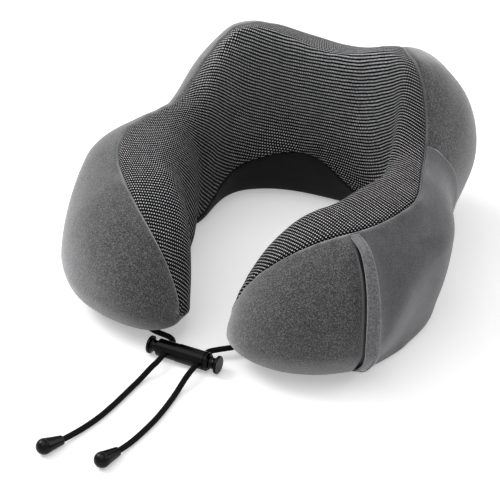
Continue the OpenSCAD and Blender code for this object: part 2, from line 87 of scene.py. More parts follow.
@dataclass
class PhotoCamera:
    """The photograph's viewpoint, as a camera that looks at a point on the pillow.

    Attributes:
        aim: Point looked at, in mm.
        azimuth: Degrees round from the front, positive to the right.
        elevation: Degrees above the horizon.
        roll: Degrees turned about the line of sight.
        distance: From the aim to the lens, in mm.
        lens: Focal length, in mm.
        sensor: Width of the sensor, in mm.
        camera: The camera, once it is built.
    """

    aim: tuple[float, float, float] = (10.6, -69.6, 58.9)
    azimuth: float = 27.03
    elevation: float = 33.72
    roll: float = -0.74
    distance: float = 920.0
    lens: float = 106.05
    sensor: float = 36.0
    camera: bpy.types.Object = field(init=False)

    def build(self) -> None:
        """Makes the camera and the scene's active camera of it."""
        a, e = math.radians(self.azimuth), math.radians(self.elevation)
        back = Vector((math.sin(a) * math.cos(e), -math.cos(a) * math.cos(e), math.sin(e)))
        data = bpy.data.cameras.new("photo_camera")
        data.sensor_fit = "AUTO"
        data.sensor_width = self.sensor
        data.lens = self.lens
        data.clip_start = 0.01
        data.clip_end = 50.0
        self.camera = bpy.data.objects.new("photo_camera", data)
        bpy.context.scene.collection.objects.link(self.camera)
        self.camera.location = (Vector(self.aim) + back * self.distance) * MM
        self.camera.rotation_mode = "QUATERNION"
        level = (-back).to_track_quat("-Z", "Y")
        self.camera.rotation_quaternion = level @ Quaternion(
            (0, 0, 1), math.radians(self.roll))
        bpy.context.scene.camera = self.camera

    def axes(self) -> tuple[np.ndarray, np.ndarray]:
        """The camera's place in mm and its three axes as the columns of a matrix."""
        turn = np.array(self.camera.rotation_quaternion.to_matrix())
        return np.array(self.camera.location) / MM, turn

    def ray(self, x: float, y: float) -> tuple[np.ndarray, np.ndarray]:
        """The line of sight through an image point.

        Args:
            x: Image point's x.
            y: Image point's y.

        Returns:
            The camera's place in mm and the unit direction.
        """
        data = self.camera.data
        long_side = max(PHOTO_W, PHOTO_H)
        local = np.array([
            x - PHOTO_W / 2 + data.shift_x * long_side,
            PHOTO_H / 2 - y + data.shift_y * long_side,
            -long_side * data.lens / data.sensor_width])
        place, turn = self.axes()
        direction = turn @ local
        return place, direction / np.linalg.norm(direction)

    def project(self, points: np.ndarray) -> np.ndarray:
        """Image x and y of points.

        Args:
            points: (n, 3) array in mm.

        Returns:
            (n, 2) array.
        """
        data = self.camera.data
        long_side = max(PHOTO_W, PHOTO_H)
        place, turn = self.axes()
        local = (points - place) @ turn
        scale = long_side * data.lens / data.sensor_width / -local[:, 2]
        return np.stack([
            PHOTO_W / 2 - data.shift_x * long_side + local[:, 0] * scale,
            PHOTO_H / 2 + data.shift_y * long_side - local[:, 1] * scale], axis=1)

    def hit(self, x: float, y: float, carrier: bpy.types.Object) -> np.ndarray:
        """Where an image point falls on a finished piece, or the place nearest its ray.

        Args:
            x: Image point's x.
            y: Image point's y.
            carrier: The piece that carries what is placed.

        Returns:
            The place in mm.
        """
        place, direction = self.ray(x, y)
        mesh = evaluated_mesh(carrier)
        tree = BVHTree.FromPolygons([v.co.copy() for v in mesh.vertices],
                                    [tuple(p.vertices) for p in mesh.polygons])
        found = tree.ray_cast(Vector(place * MM), Vector(direction))[0]
        if found is not None:
            return np.array(found) / MM
        points = vertex_points(carrier)
        along = (points - place) @ direction
        miss = np.linalg.norm(points - place - along[:, None] * direction, axis=1)
        return points[miss.argmin()]


# ---------------------------------------------------------------- finishes

def linear(colour: str) -> tuple[float, float, float, float]:
    """An sRGB hex colour as the linear RGBA that shaders take.

    Args:
        colour: "#rrggbb".

    Returns:
        Linear red, green and blue, and an alpha of 1.
    """
    parts = [int(colour[i:i + 2], 16) / 255 for i in (1, 3, 5)]
    curve = [c / 12.92 if c <= 0.04045 else ((c + 0.055) / 1.055) ** 2.4 for c in parts]
    return (curve[0], curve[1], curve[2], 1.0)


class Sketch:
    """The node tree of a material or of the world, added to node by node."""

    def __init__(self, owner: bpy.types.Material | bpy.types.World) -> None:
        """Starts with an empty tree.

        Args:
            owner: The material or world that has the tree.
        """
        owner.use_nodes = True
        self.owner = owner
        self.tree = owner.node_tree
        self.tree.nodes.clear()

    def add(self, kind: str, inputs: dict[str | int, object] | None = None,
            stops: Sequence[tuple[float, str]] = (), **settings: object) -> bpy.types.Node:
        """Adds a node with its settings and links.

        Args:
            kind: The node's type, without "ShaderNode".
            inputs: Values, output sockets, or nodes whose first output is taken, by the
                input's name or number.
            stops: A colour ramp's positions and sRGB hex colours.
            **settings: The node's own properties.

        Returns:
            The new node.
        """
        node = self.tree.nodes.new(f"ShaderNode{kind}")
        for key, value in settings.items():
            setattr(node, key, value)
        if stops:
            marks = node.color_ramp.elements
            while len(marks) < len(stops):
                marks.new(0.5)
            for mark, (place, colour) in zip(marks, stops):
                mark.position = place
                mark.color = linear(colour)
        for key, value in (inputs or {}).items():
            if isinstance(value, bpy.types.Node):
                value = value.outputs[0]
            if isinstance(value, bpy.types.NodeSocket):
                self.tree.links.new(value, node.inputs[key])
            else:
                node.inputs[key].default_value = value
        return node


class Recipe:
    """What the finishes share: each has a name and builds its own surface shader."""

    name: str

    def make(self) -> bpy.types.Material:
        """Makes the material.

        Returns:
            The material, its shader joined to its output.
        """
        sketch = Sketch(bpy.data.materials.new(self.name))
        sketch.add("OutputMaterial", {"Surface": self.shade(sketch)})
        return sketch.owner

    def shade(self, sketch: Sketch) -> bpy.types.Node:
        """Adds the surface's nodes to the sketch and returns its shader."""
        raise NotImplementedError


@dataclass(frozen=True)
class Velour(Recipe):
    """Brushed polyester velour: a short mottled nap, paler where it is seen edge on.

    The real pile's tufts are about 0.2 mm, too fine to show, so the nap is drawn at 0.7
    to 1 mm. The brush leaves softer patches of a few millimetres.

    The layer's U is the distance from the rim, where a pale painted highlight lies, and
    its V, under the pocket's mouth, turns the cloth into near-black painted shade. Sizes
    are in mm.
    """

    name: str = "velour_brushed_polyester"
    valley: str = "#18181a"
    middle: str = "#3e3e3f"
    tip: str = "#757576"
    # Painted highlight colour along the rim, then painted shade colour under the pocket's
    # mouth.
    painted_highlight: str = "#a2a2a4"
    painted_shade: str = "#050506"
    patch: float = 5.0
    patch_share: float = 0.1
    nap: float = 0.72
    sheen: float = 1.0
    # Strength of the painted highlight at the rim.
    painted_highlight_share: float = 0.5
    layer: str = "rim"

    def shade(self, sketch: Sketch) -> bpy.types.Node:
        """Brushed patches mixed with fine pile, with a painted highlight along the rim
        and painted shade under the pocket's mouth.

        Args:
            sketch: The material's nodes.

        Returns:
            The shader.
        """
        place = sketch.add("TexCoord").outputs["Object"]
        patches = sketch.add("TexNoise", {
            "Vector": place, "Scale": 1 / (self.patch * MM), "Detail": 4.0,
            "Roughness": 0.62})
        pile = sketch.add("TexNoise", {
            "Vector": place, "Scale": 1 / (self.nap * MM), "Detail": 2.0,
            "Roughness": 0.7})
        mixed = sketch.add("Math", {
            0: sketch.add("Math", {0: patches, 1: self.patch_share}, operation="MULTIPLY"),
            1: sketch.add("Math", {0: pile, 1: 1 - self.patch_share},
                          operation="MULTIPLY")}, operation="ADD")
        nap = sketch.add("ValToRGB", {"Fac": mixed}, [
            (0.38, self.valley), (0.5, self.middle), (0.64, self.tip)])
        rim, inside, _ = sketch.add("SeparateXYZ", {
            0: sketch.add("UVMap", uv_map=self.layer)}).outputs
        # Painted highlight: a paler colour over the first 1.4 mm from the rim, standing in
        # for light on a turned edge.
        near = sketch.add("MapRange", {
            "Value": rim, "From Min": 0.3 * MM, "From Max": 1.4 * MM,
            "To Min": self.painted_highlight_share, "To Max": 0.0})
        highlighted = sketch.add("Mix", {
            MIX_SHARE: near, MIX_FROM: nap, MIX_TO: linear(self.painted_highlight)}, data_type="RGBA")
        # Painted shade: the side panel turns near black where it runs under the pocket's
        # mouth.
        colour = sketch.add("Mix", {
            MIX_SHARE: inside, MIX_FROM: highlighted.outputs[MIX_RESULT],
            MIX_TO: linear(self.painted_shade)}, data_type="RGBA")
        return sketch.add("BsdfPrincipled", {
            "Base Color": colour.outputs[MIX_RESULT], "Roughness": 0.93,
            "Specular IOR Level": 0.25, "Sheen Weight": self.sheen,
            "Sheen Roughness": 0.5, "Sheen Tint": linear("#f8f8fa"),
            "Normal": sketch.add("Bump", {
                "Height": pile, "Distance": 0.5 * MM, "Strength": 0.55})})


@dataclass(frozen=True)
class DottedKnit(Recipe):
    """Two-tone jacquard knit: rows of pale loops on a black ground, laid along a UV map.

    The row and loop pitches are the real ones. The pale loops are painted larger in the
    hollow of the back, as painted light, and smaller over the lobes, as painted shade.

    Sizes are in mm. The weave's layer is in metres along and across the rows, and the
    painted light layer's U says how much paler the knit is painted there.
    """

    name: str = "knit_two_tone_jacquard"
    ground: str = "#040405"
    pale: str = "#f4f4f6"
    dim: str = "#c4c4c8"
    layer: str = "weave"
    row: float = 2.15
    loop: float = 1.45
    dash: float = 0.48
    dash_high: float = 0.47
    softness: float = 0.3
    # Painted light: a UV layer whose U narrows the black joints, so the knit pales.
    painted_light_layer: str = "painted_light"
    painted_light_strength: float = 0.065
    drift: float = 14.0
    drift_reach: float = 1.2

    def shade(self, sketch: Sketch) -> bpy.types.Node:
        """Bricks of pale loops with wide black joints, their edges softened.

        Args:
            sketch: The material's nodes.

        Returns:
            The shader.
        """
        lay = sketch.add("UVMap", uv_map=self.layer)
        drift = sketch.add("TexNoise", {
            "Vector": lay, "Scale": 1 / (self.drift * MM), "Detail": 1.0})
        level = sketch.add("VectorMath", {
            0: drift.outputs["Color"], 1: (0.5, 0.5, 0.5)}, operation="SUBTRACT")
        shake = sketch.add("VectorMath", {
            0: level, "Scale": self.drift_reach * MM}, operation="SCALE")
        laid = sketch.add("VectorMath", {0: lay, 1: shake}, operation="ADD")
        gap = self.loop - self.dash
        squeeze = gap / (self.row - self.dash_high)
        scaled = sketch.add("Mapping", {
            "Vector": laid, "Scale": (1 / MM, squeeze / MM, 1 / MM)})
        # Painted light: the joints narrow, and the knit pales, where the layer's U is above
        # 0. Below 0 they widen as painted shade.
        painted_light = sketch.add("SeparateXYZ", {
            0: sketch.add("UVMap", uv_map=self.painted_light_layer)})
        closed = sketch.add("Math", {0: painted_light, 1: self.painted_light_strength}, operation="MULTIPLY")
        joint = sketch.add("Math", {0: gap / 2, 1: closed}, operation="SUBTRACT")
        bricks = sketch.add("TexBrick", {
            "Vector": scaled, "Color1": linear(self.pale), "Color2": linear(self.dim),
            "Mortar": linear(self.ground), "Scale": 1.0, "Mortar Size": joint,
            "Mortar Smooth": self.softness, "Bias": -0.1, "Brick Width": self.loop,
            "Row Height": self.row * squeeze},
            offset=0.5, offset_frequency=2, squash=1.0)
        height = sketch.add("Math", {0: 1.0, 1: bricks.outputs["Fac"]},
                            operation="SUBTRACT")
        return sketch.add("BsdfPrincipled", {
            "Base Color": bricks.outputs["Color"], "Roughness": 0.85,
            "Specular IOR Level": 0.15, "Normal": sketch.add("Bump", {
                "Height": height, "Distance": 0.3 * MM, "Strength": 0.5})})


@dataclass(frozen=True)
class PlainKnit(Recipe):
    """Fine plain jersey with a faint grain, for the neck band and the lining.

    Its real loops are about 0.4 mm, too fine to show, so the grain is drawn coarser.
    """

    name: str
    low: str
    high: str
    grain: float = 0.8
    sheen: float = 0.1

    def shade(self, sketch: Sketch) -> bpy.types.Node:
        """A fine noise grain with shallow bumps.

        Args:
            sketch: The material's nodes.

        Returns:
            The shader.
        """
        grain = sketch.add("TexNoise", {
            "Vector": sketch.add("TexCoord").outputs["Object"],
            "Scale": 1 / (self.grain * MM), "Detail": 2.0, "Roughness": 0.5})
        colour = sketch.add("ValToRGB", {"Fac": grain}, [
            (0.35, self.low), (0.65, self.high)])
        return sketch.add("BsdfPrincipled", {
            "Base Color": colour, "Roughness": 0.9, "Specular IOR Level": 0.25,
            "Sheen Weight": self.sheen, "Sheen Roughness": 0.4,
            "Normal": sketch.add("Bump", {
                "Height": grain, "Distance": 0.2 * MM, "Strength": 0.5})})


@dataclass(frozen=True)
class Foam(Recipe):
    """Slow-recovery polyurethane foam: pale, matt and finely pored.

    Pores and clouds of tone are sized in mm.
    """

    name: str = "foam_slow_recovery"
    pore: float = 1.1
    cloud: float = 25.0

    def shade(self, sketch: Sketch) -> bpy.types.Node:
        """Cells as small dents.

        Args:
            sketch: The material's nodes.

        Returns:
            The shader.
        """
        place = sketch.add("TexCoord").outputs["Object"]
        cells = sketch.add("TexVoronoi", {"Vector": place, "Scale": 1 / (self.pore * MM)})
        tone = sketch.add("TexNoise", {
            "Vector": place, "Scale": 1 / (self.cloud * MM), "Detail": 3.0,
            "Roughness": 0.5})
        colour = sketch.add("ValToRGB", {"Fac": tone}, [
            (0.35, "#d8d3c4"), (0.65, "#ece8dc")])
        return sketch.add("BsdfPrincipled", {
            "Base Color": colour, "Roughness": 0.95, "Specular IOR Level": 0.2,
            "Normal": sketch.add("Bump", {
                "Height": cells.outputs["Distance"], "Distance": 0.3 * MM,
                "Strength": 0.5})})


@dataclass(frozen=True)
class BraidedCord(Recipe):
    """Round braided polyester over elastic, black, its strands at 45 degrees.

    The real strands are about 0.6 mm wide, and they are drawn twice as wide to show.
    """

    name: str = "cord_braided_polyester"
    strand: float = 1.2
    layer: str = "braid"

    def shade(self, sketch: Sketch) -> bpy.types.Node:
        """Two crossing sets of strands, each a smooth wave along the cord's UV map.

        Args:
            sketch: The material's nodes.

        Returns:
            The shader.
        """
        lay = sketch.add("SeparateXYZ", {0: sketch.add("UVMap", uv_map=self.layer)})
        turn = 2 * math.pi / (self.strand * math.sqrt(2) * MM)
        waves = []
        for sign in ("ADD", "SUBTRACT"):
            slant = sketch.add("Math", {0: lay.outputs[0], 1: lay.outputs[1]},
                               operation=sign)
            phase = sketch.add("Math", {0: slant, 1: turn}, operation="MULTIPLY")
            waves.append(sketch.add("Math", {0: phase}, operation="SINE"))
        crossed = sketch.add("Math", {0: waves[0], 1: waves[1]}, operation="MULTIPLY")
        weave = sketch.add("Math", {0: crossed}, operation="ABSOLUTE")
        colour = sketch.add("ValToRGB", {"Fac": weave}, [
            (0.0, "#010102"), (0.45, "#040405"), (1.0, "#0d0d0f")])
        return sketch.add("BsdfPrincipled", {
            "Base Color": colour, "Roughness": 0.75, "Specular IOR Level": 0.12,
            "Normal": sketch.add("Bump", {
                "Height": weave, "Distance": 0.3 * MM, "Strength": 0.8})})


@dataclass(frozen=True)
class MouldedPlastic(Recipe):
    """Injection-moulded plastic with a fine spark-eroded grain and a little wear.

    Its grain and its scuffs are sized in mm.
    """

    name: str
    colour: str
    worn: str
    roughness: float
    level: float
    grain: float = 0.25
    scuff: float = 3.0

    def shade(self, sketch: Sketch) -> bpy.types.Node:
        """Even colour with faint paler scuffs, and roughness that varies a little.

        Args:
            sketch: The material's nodes.

        Returns:
            The shader.
        """
        place = sketch.add("TexCoord").outputs["Object"]
        scuffs = sketch.add("TexNoise", {
            "Vector": place, "Scale": 1 / (self.scuff * MM), "Detail": 4.0,
            "Roughness": 0.7})
        colour = sketch.add("ValToRGB", {"Fac": scuffs}, [
            (0.5, self.colour), (0.78, self.worn)])
        rough = sketch.add("MapRange", {
            "Value": scuffs, "To Min": self.roughness - 0.06,
            "To Max": self.roughness + 0.1})
        grain = sketch.add("TexNoise", {
            "Vector": place, "Scale": 1 / (self.grain * MM), "Detail": 1.0,
            "Roughness": 0.5})
        return sketch.add("BsdfPrincipled", {
            "Base Color": colour, "Roughness": rough,
            "Specular IOR Level": self.level, "Normal": sketch.add("Bump", {
                "Height": grain, "Distance": 0.03 * MM, "Strength": 0.5})})


@dataclass(frozen=True)
class PlatedMetal(Recipe):
    """Zinc or steel with a thin gunmetal plating, rubbed brighter on its high spots.

    The rubbing marks are sized in mm.
    """

    name: str
    dark: str
    bright: str
    roughness: float = 0.32
    rub: float = 2.2

    def shade(self, sketch: Sketch) -> bpy.types.Node:
        """Metal whose tone and roughness follow fine rubbing marks.

        Args:
            sketch: The material's nodes.

        Returns:
            The shader.
        """
        rub = sketch.add("TexNoise", {
            "Vector": sketch.add("TexCoord").outputs["Object"],
            "Scale": 1 / (self.rub * MM), "Detail": 4.0, "Roughness": 0.65})
        colour = sketch.add("ValToRGB", {"Fac": rub}, [
            (0.4, self.dark), (0.7, self.bright)])
        rough = sketch.add("MapRange", {
            "Value": rub, "To Min": self.roughness + 0.1, "To Max": self.roughness - 0.08})
        return sketch.add("BsdfPrincipled", {
            "Base Color": colour, "Metallic": 1.0, "Roughness": rough,
            "Normal": sketch.add("Bump", {
                "Height": rub, "Distance": 0.03 * MM, "Strength": 0.3})})


@dataclass(frozen=True)
class WovenTape(Recipe):
    """Zip tape: a herringbone weave too fine to see apart, with a faint rib.

    The ribs and the fleck are drawn about twice as coarse as the real yarn.
    """

    name: str = "zip_tape_woven_polyester"
    rib: float = 0.6
    fleck: float = 0.5

    def shade(self, sketch: Sketch) -> bpy.types.Node:
        """Ribs up the height with a fine fleck over them.

        Args:
            sketch: The material's nodes.

        Returns:
            The shader.
        """
        place = sketch.add("TexCoord").outputs["Object"]
        ribs = sketch.add("TexWave", {
            "Vector": place, "Scale": WAVE_TURN / (self.rib * MM),
            "Distortion": 1.5, "Detail": 1.0}, bands_direction="Z")
        fleck = sketch.add("TexNoise", {
            "Vector": place, "Scale": 1 / (self.fleck * MM), "Detail": 2.0,
            "Roughness": 0.5})
        both = sketch.add("Math", {0: ribs.outputs["Fac"], 1: fleck},
                          operation="MULTIPLY")
        colour = sketch.add("ValToRGB", {"Fac": both}, [
            (0.1, "#101012"), (0.6, "#2a2a2d")])
        return sketch.add("BsdfPrincipled", {
            "Base Color": colour, "Roughness": 0.85, "Specular IOR Level": 0.3,
            "Sheen Weight": 0.1, "Normal": sketch.add("Bump", {
                "Height": both, "Distance": 0.15 * MM, "Strength": 0.6})})


@dataclass(frozen=True)
class Thread(Recipe):
    """Spun polyester sewing thread, its twist drawn a little coarser than the real one."""

    name: str
    low: str
    high: str
    twist: float = 0.35

    def shade(self, sketch: Sketch) -> bpy.types.Node:
        """A fine twist along the thread.

        Args:
            sketch: The material's nodes.

        Returns:
            The shader.
        """
        twist = sketch.add("TexNoise", {
            "Vector": sketch.add("TexCoord").outputs["Object"],
            "Scale": 1 / (self.twist * MM), "Detail": 2.0, "Roughness": 0.5})
        colour = sketch.add("ValToRGB", {"Fac": twist}, [
            (0.3, self.low), (0.7, self.high)])
        return sketch.add("BsdfPrincipled", {
            "Base Color": colour, "Roughness": 0.6, "Specular IOR Level": 0.4,
            "Sheen Weight": 0.2, "Normal": sketch.add("Bump", {
                "Height": twist, "Distance": 0.1 * MM, "Strength": 0.5})})


def made(recipe: Recipe) -> bpy.types.Material:
    """A dataclass field that is filled by making the recipe's material."""
    return field(default_factory=recipe.make)


@dataclass
class Finishes:
    """Every finish on the pillow, each made once."""

    velour: bpy.types.Material = made(Velour())
    # Copies of the side velour for the pocket and hem, painted paler as painted light; the
    # pocket's rim highlight is painted too.
    pocket_velour_painted_light: bpy.types.Material = made(Velour(
        name="velour_pocket_painted_light", valley="#444446", middle="#525254",
        tip="#626264", painted_highlight="#d2d2d4", patch=12.0, nap=0.9, patch_share=0.35,
        sheen=0.58, painted_highlight_share=0.9))
    hem_velour_painted_light: bpy.types.Material = made(Velour(
        name="velour_hem_painted_light", valley="#505052", middle="#67676a",
        tip="#818184", patch=6.0, nap=1.0, sheen=0.8, painted_highlight_share=0.0))
    knit: bpy.types.Material = made(DottedKnit())
    band: bpy.types.Material = made(PlainKnit(
        "jersey_black_neck_band", low="#0c0c0f", high="#1a1a1e"))
    lining: bpy.types.Material = made(PlainKnit(
        "lining_warp_knit_base", low="#151518", high="#26262a"))
    foam: bpy.types.Material = made(Foam())
    cord: bpy.types.Material = made(BraidedCord())
    lock: bpy.types.Material = made(MouldedPlastic(
        "plastic_satin_acetal_lock", "#010102", "#050506", roughness=0.1, level=0.12))
    bell: bpy.types.Material = made(MouldedPlastic(
        "plastic_gloss_nylon_bell", "#010102", "#050506", roughness=0.12, level=0.14))
    spring: bpy.types.Material = made(PlatedMetal(
        "steel_drawn_spring_wire", "#8b8b90", "#c2c2c6", roughness=0.25))
    zip_metal: bpy.types.Material = made(PlatedMetal(
        "zinc_cast_gunmetal_plated", "#3c3c42", "#6b6b72"))
    coil: bpy.types.Material = made(MouldedPlastic(
        "nylon_zip_coil", "#131315", "#242428", roughness=0.42, level=0.4))
    tape: bpy.types.Material = made(WovenTape())
    hem_thread: bpy.types.Material = made(Thread(
        "thread_polyester_grey", "#626263", "#7c7c7e"))
    dark_thread: bpy.types.Material = made(Thread(
        "thread_polyester_dark", "#2c2c2e", "#48484b"))


# ---------------------------------------------------------------- studio

class Lamp(Enum):
    """The studio's lamps: place in metres, square size in metres and power in watts."""

    TOP = ((-0.15, -0.5, 1.85), 1.8, 17.5)
    LEFT = ((-1.3, -0.1, 1.3), 0.9, 22.0)
    RIGHT = ((1.4, 0.95, 0.9), 1.4, 11.0)


@dataclass
class Studio:
    """White floor and backdrop, soft lamps and an even white surround.

    Half the floor's side and the lamps' aim are in metres, the floor's drop in mm.
    """

    floor_colour: str = "#f2f2f2"
    floor_half: float = 3.0
    floor_drop: float = 0.05
    surround: float = 0.26
    lift: float = 0.38
    lamp_aim: tuple[float, float, float] = (0, -0.03, 0.05)

    def build(self) -> None:
        """Makes the floor, the lamps and the world."""
        half = self.floor_half / MM
        corners = [[[x, y, -self.floor_drop] for y in (-half, half)] for x in (-half, half)]
        floor = grid_object("floor", np.array(corners))
        floor.data.materials.append(self.floor_paint())
        for lamp in Lamp:
            place, size, power = lamp.value
            data = bpy.data.lights.new(lamp.name.lower(), "AREA")
            data.size = size
            data.energy = power
            item = bpy.data.objects.new(lamp.name.lower(), data)
            bpy.context.scene.collection.objects.link(item)
            item.location = place
            aim = Vector(self.lamp_aim) - Vector(place)
            item.rotation_mode = "QUATERNION"
            item.rotation_quaternion = aim.to_track_quat("-Z", "Y")
        self.surround_light()
        bpy.context.scene.view_settings.view_transform = "Standard"

    @staticmethod
    def background_seen(sketch: Sketch) -> bpy.types.Node:
        """1 for the rays that show a background: the camera's, gloss's and glass's.

        Args:
            sketch: The nodes to add to.

        Returns:
            The node whose output it is.
        """
        rays = sketch.add("LightPath").outputs
        mirrored = sketch.add("Math", {
            0: rays["Is Glossy Ray"], 1: rays["Is Transmission Ray"]},
            operation="MAXIMUM")
        return sketch.add("Math", {0: rays["Is Camera Ray"], 1: mirrored},
                          operation="MAXIMUM")

    def floor_paint(self) -> bpy.types.Material:
        """Matt white floor that the camera, gloss and glass see a little brighter.

        Returns:
            The floor's material.
        """
        sketch = Sketch(bpy.data.materials.new("floor_white_paper"))
        strength = sketch.add("Math", {0: self.background_seen(sketch), 1: self.lift},
                              operation="MULTIPLY")
        glow = sketch.add("Emission", {"Color": linear(WHITE), "Strength": strength})
        matt = sketch.add("BsdfDiffuse", {"Color": linear(self.floor_colour)})
        both = sketch.add("AddShader", {0: matt, 1: glow})
        sketch.add("OutputMaterial", {"Surface": both})
        return sketch.owner

    def surround_light(self) -> None:
        """White to the camera, gloss and glass, and a plain soft light to the rest."""
        world = bpy.data.worlds.new("studio_surround")
        bpy.context.scene.world = world
        sketch = Sketch(world)
        soft, shown = (
            sketch.add("Background", {"Color": linear(WHITE), "Strength": strength})
            for strength in (self.surround, 1.0))
        mix = sketch.add("MixShader", {0: self.background_seen(sketch), 1: soft, 2: shown})
        sketch.add("OutputWorld", {"Surface": mix})


# ---------------------------------------------------------------- meshes

def evaluated_mesh(piece: bpy.types.Object) -> bpy.types.Mesh:
    """The piece's mesh with its modifiers applied."""
    graph = bpy.context.evaluated_depsgraph_get()
    return piece.evaluated_get(graph).to_mesh()


def vertex_points(piece: bpy.types.Object) -> np.ndarray:
    """A piece's finished vertices.

    Args:
        piece: The object.

    Returns:
        (n, 3) array in mm.
    """
    mesh = evaluated_mesh(piece)
    flat = np.empty(len(mesh.vertices) * 3)
    mesh.vertices.foreach_get("co", flat)
    return flat.reshape(-1, 3) / MM


def grid_quads(rows: int, columns: int, wrap: bool = False) -> np.ndarray:
    """Faces of a grid of points stored row by row.

    Args:
        rows: Points along the first direction.
        columns: Points along the second direction.
        wrap: Whether the second direction closes on itself.

    Returns:
        (n, 4) array of point numbers.
    """
    numbers = np.arange(rows * columns).reshape(rows, columns)
    if wrap:
        numbers = np.concatenate([numbers, numbers[:, :1]], axis=1)
    corners = [numbers[:-1, :-1], numbers[1:, :-1], numbers[1:, 1:], numbers[:-1, 1:]]
    return np.stack(corners, axis=-1).reshape(-1, 4)


def mesh_object(name: str, points: np.ndarray, faces: np.ndarray,
                layers: dict[str, np.ndarray] | None = None) -> bpy.types.Object:
    """A smooth-shaded mesh object from points and faces.

    Points that coincide, as at a pole, are joined and points without a face dropped.

    Args:
        name: The object's name.
        points: (n, 3) array in mm.
        faces: (m, k) array of point numbers.
        layers: UV layers by name, one (n, 2) array each, in metres.

    Returns:
        The object.
    """
    mesh = bpy.data.meshes.new(name)
    mesh.from_pydata((points * MM).tolist(), [], faces.tolist())
    for layer, values in (layers or {}).items():
        laid = mesh.uv_layers.new(name=layer)
        corners = values[faces.reshape(-1)].astype(np.float32)
        laid.data.foreach_set("uv", corners.reshape(-1))
    shape = bmesh.new()
    shape.from_mesh(mesh)
    loose = [v for v in shape.verts if not v.link_faces]
    bmesh.ops.delete(shape, geom=loose, context="VERTS")
    bmesh.ops.remove_doubles(shape, verts=shape.verts, dist=SAME_PLACE)
    shape.to_mesh(mesh)
    shape.free()
    mesh.polygons.foreach_set("use_smooth", np.ones(len(mesh.polygons), bool))
    mesh.update()
    item = bpy.data.objects.new(name, mesh)
    bpy.context.scene.collection.objects.link(item)
    return item


def grid_object(name: str, grid: np.ndarray, inside: np.ndarray | None = None,
                wrap: bool = False, keep: np.ndarray | None = None,
                layers: dict[str, np.ndarray] | None = None) -> bpy.types.Object:
    """A mesh object from a grid of points, its faces turned outwards.

    Args:
        name: The object's name.
        grid: (rows, columns, 3) array in mm.
        inside: (rows, 1, 3) points inside the form, to tell in from out.
        wrap: Whether the second direction closes on itself.
        keep: Which faces are kept, one truth value per face.
        layers: UV layers by name, (rows, columns, 2) arrays in metres.

    Returns:
        The object.
    """
    faces = grid_quads(grid.shape[0], grid.shape[1], wrap)
    if keep is not None:
        faces = faces[keep.reshape(-1)]
    if inside is not None:
        across = np.cross(np.gradient(grid, axis=0), np.gradient(grid, axis=1))
        if np.sum(across * (grid - inside)) < 0:
            faces = faces[:, ::-1]
    flat = {k: v.reshape(-1, 2) for k, v in (layers or {}).items()}
    return mesh_object(name, grid.reshape(-1, 3), faces, flat)


def thicken(piece: bpy.types.Object, thickness: float) -> None:
    """Gives a sheet its thickness, inwards from the face.

    Args:
        piece: The sheet.
        thickness: In mm.
    """
    solid = piece.modifiers.new("cloth_thickness", "SOLIDIFY")
    solid.thickness = thickness * MM
    solid.offset = -1.0


def crowded(count: int, pull: float) -> np.ndarray:
    """Numbers from 0 to 1 that lie closer together towards both ends.

    tanh(pull * s) over tanh(pull), for s from -1 to 1, moved to 0 to 1.

    Args:
        count: How many.
        pull: Near 0 for even, 2 for strongly crowded ends.

    Returns:
        The numbers.
    """
    s = np.linspace(-1, 1, count)
    return (np.tanh(pull * s) / math.tanh(pull) + 1) / 2


def grid_normals(grid: np.ndarray, centre: np.ndarray) -> np.ndarray:
    """Unit normals of a grid of points, facing away from a centre line.

    An end row that has shrunk to a point takes the normals of the row beside it.

    Args:
        grid: (rows, columns, 3) array.
        centre: (rows, 1, 3) points inside the form.

    Returns:
        (rows, columns, 3) array.
    """
    across = np.cross(np.gradient(grid, axis=0), np.gradient(grid, axis=1))
    size = np.linalg.norm(across, axis=2, keepdims=True)
    flat = size[..., 0] < FLAT_SHARE * max(size.max(), TINY)
    normals = across / np.maximum(size, TINY)
    for row, near in ((0, 1), (-1, -2)):
        lost = flat[row]
        normals[row][lost] = normals[near][lost]
    sign = np.sign(np.sum((grid - centre) * normals))
    return normals * sign


def wander(points: np.ndarray, cell: float, seed: int) -> np.ndarray:
    """A smooth random field: seeded numbers on a cubic lattice, eased between corners.

    Args:
        points: (..., 3) array in mm.
        cell: Lattice spacing in mm.
        seed: Seed of the numbers.

    Returns:
        (...) array of values, mostly between -1 and 1.
    """
    table = np.random.default_rng(seed).uniform(-1, 1, (LATTICE,) * 3)
    spot = points / cell + LATTICE_START
    low = np.floor(spot).astype(int)
    part = ease(spot - low)
    total = np.zeros(points.shape[:-1])
    for corner in np.ndindex(2, 2, 2):
        share = np.prod(np.where(np.array(corner) == 1, part, 1 - part), axis=-1)
        at = (low + np.array(corner)) % LATTICE
        total += share * table[at[..., 0], at[..., 1], at[..., 2]]
    return total


def nearest_distance(points: np.ndarray, targets: np.ndarray,
                     chunk: int = 4000) -> np.ndarray:
    """Distance from each point to the nearest target.

    Args:
        points: (n, 3) array.
        targets: (m, 3) array.
        chunk: Points worked at a time.

    Returns:
        (n,) array.
    """
    best = []
    for start in range(0, len(points), chunk):
        apart = points[start:start + chunk, None] - targets[None]
        best.append(np.sqrt(np.min(np.sum(apart ** 2, axis=2), axis=1)))
    return np.concatenate(best)


def every_face(grid: np.ndarray) -> np.ndarray:
    """Truth values that keep all the faces of a grid."""
    return np.ones((grid.shape[0] - 1, grid.shape[1] - 1), bool)


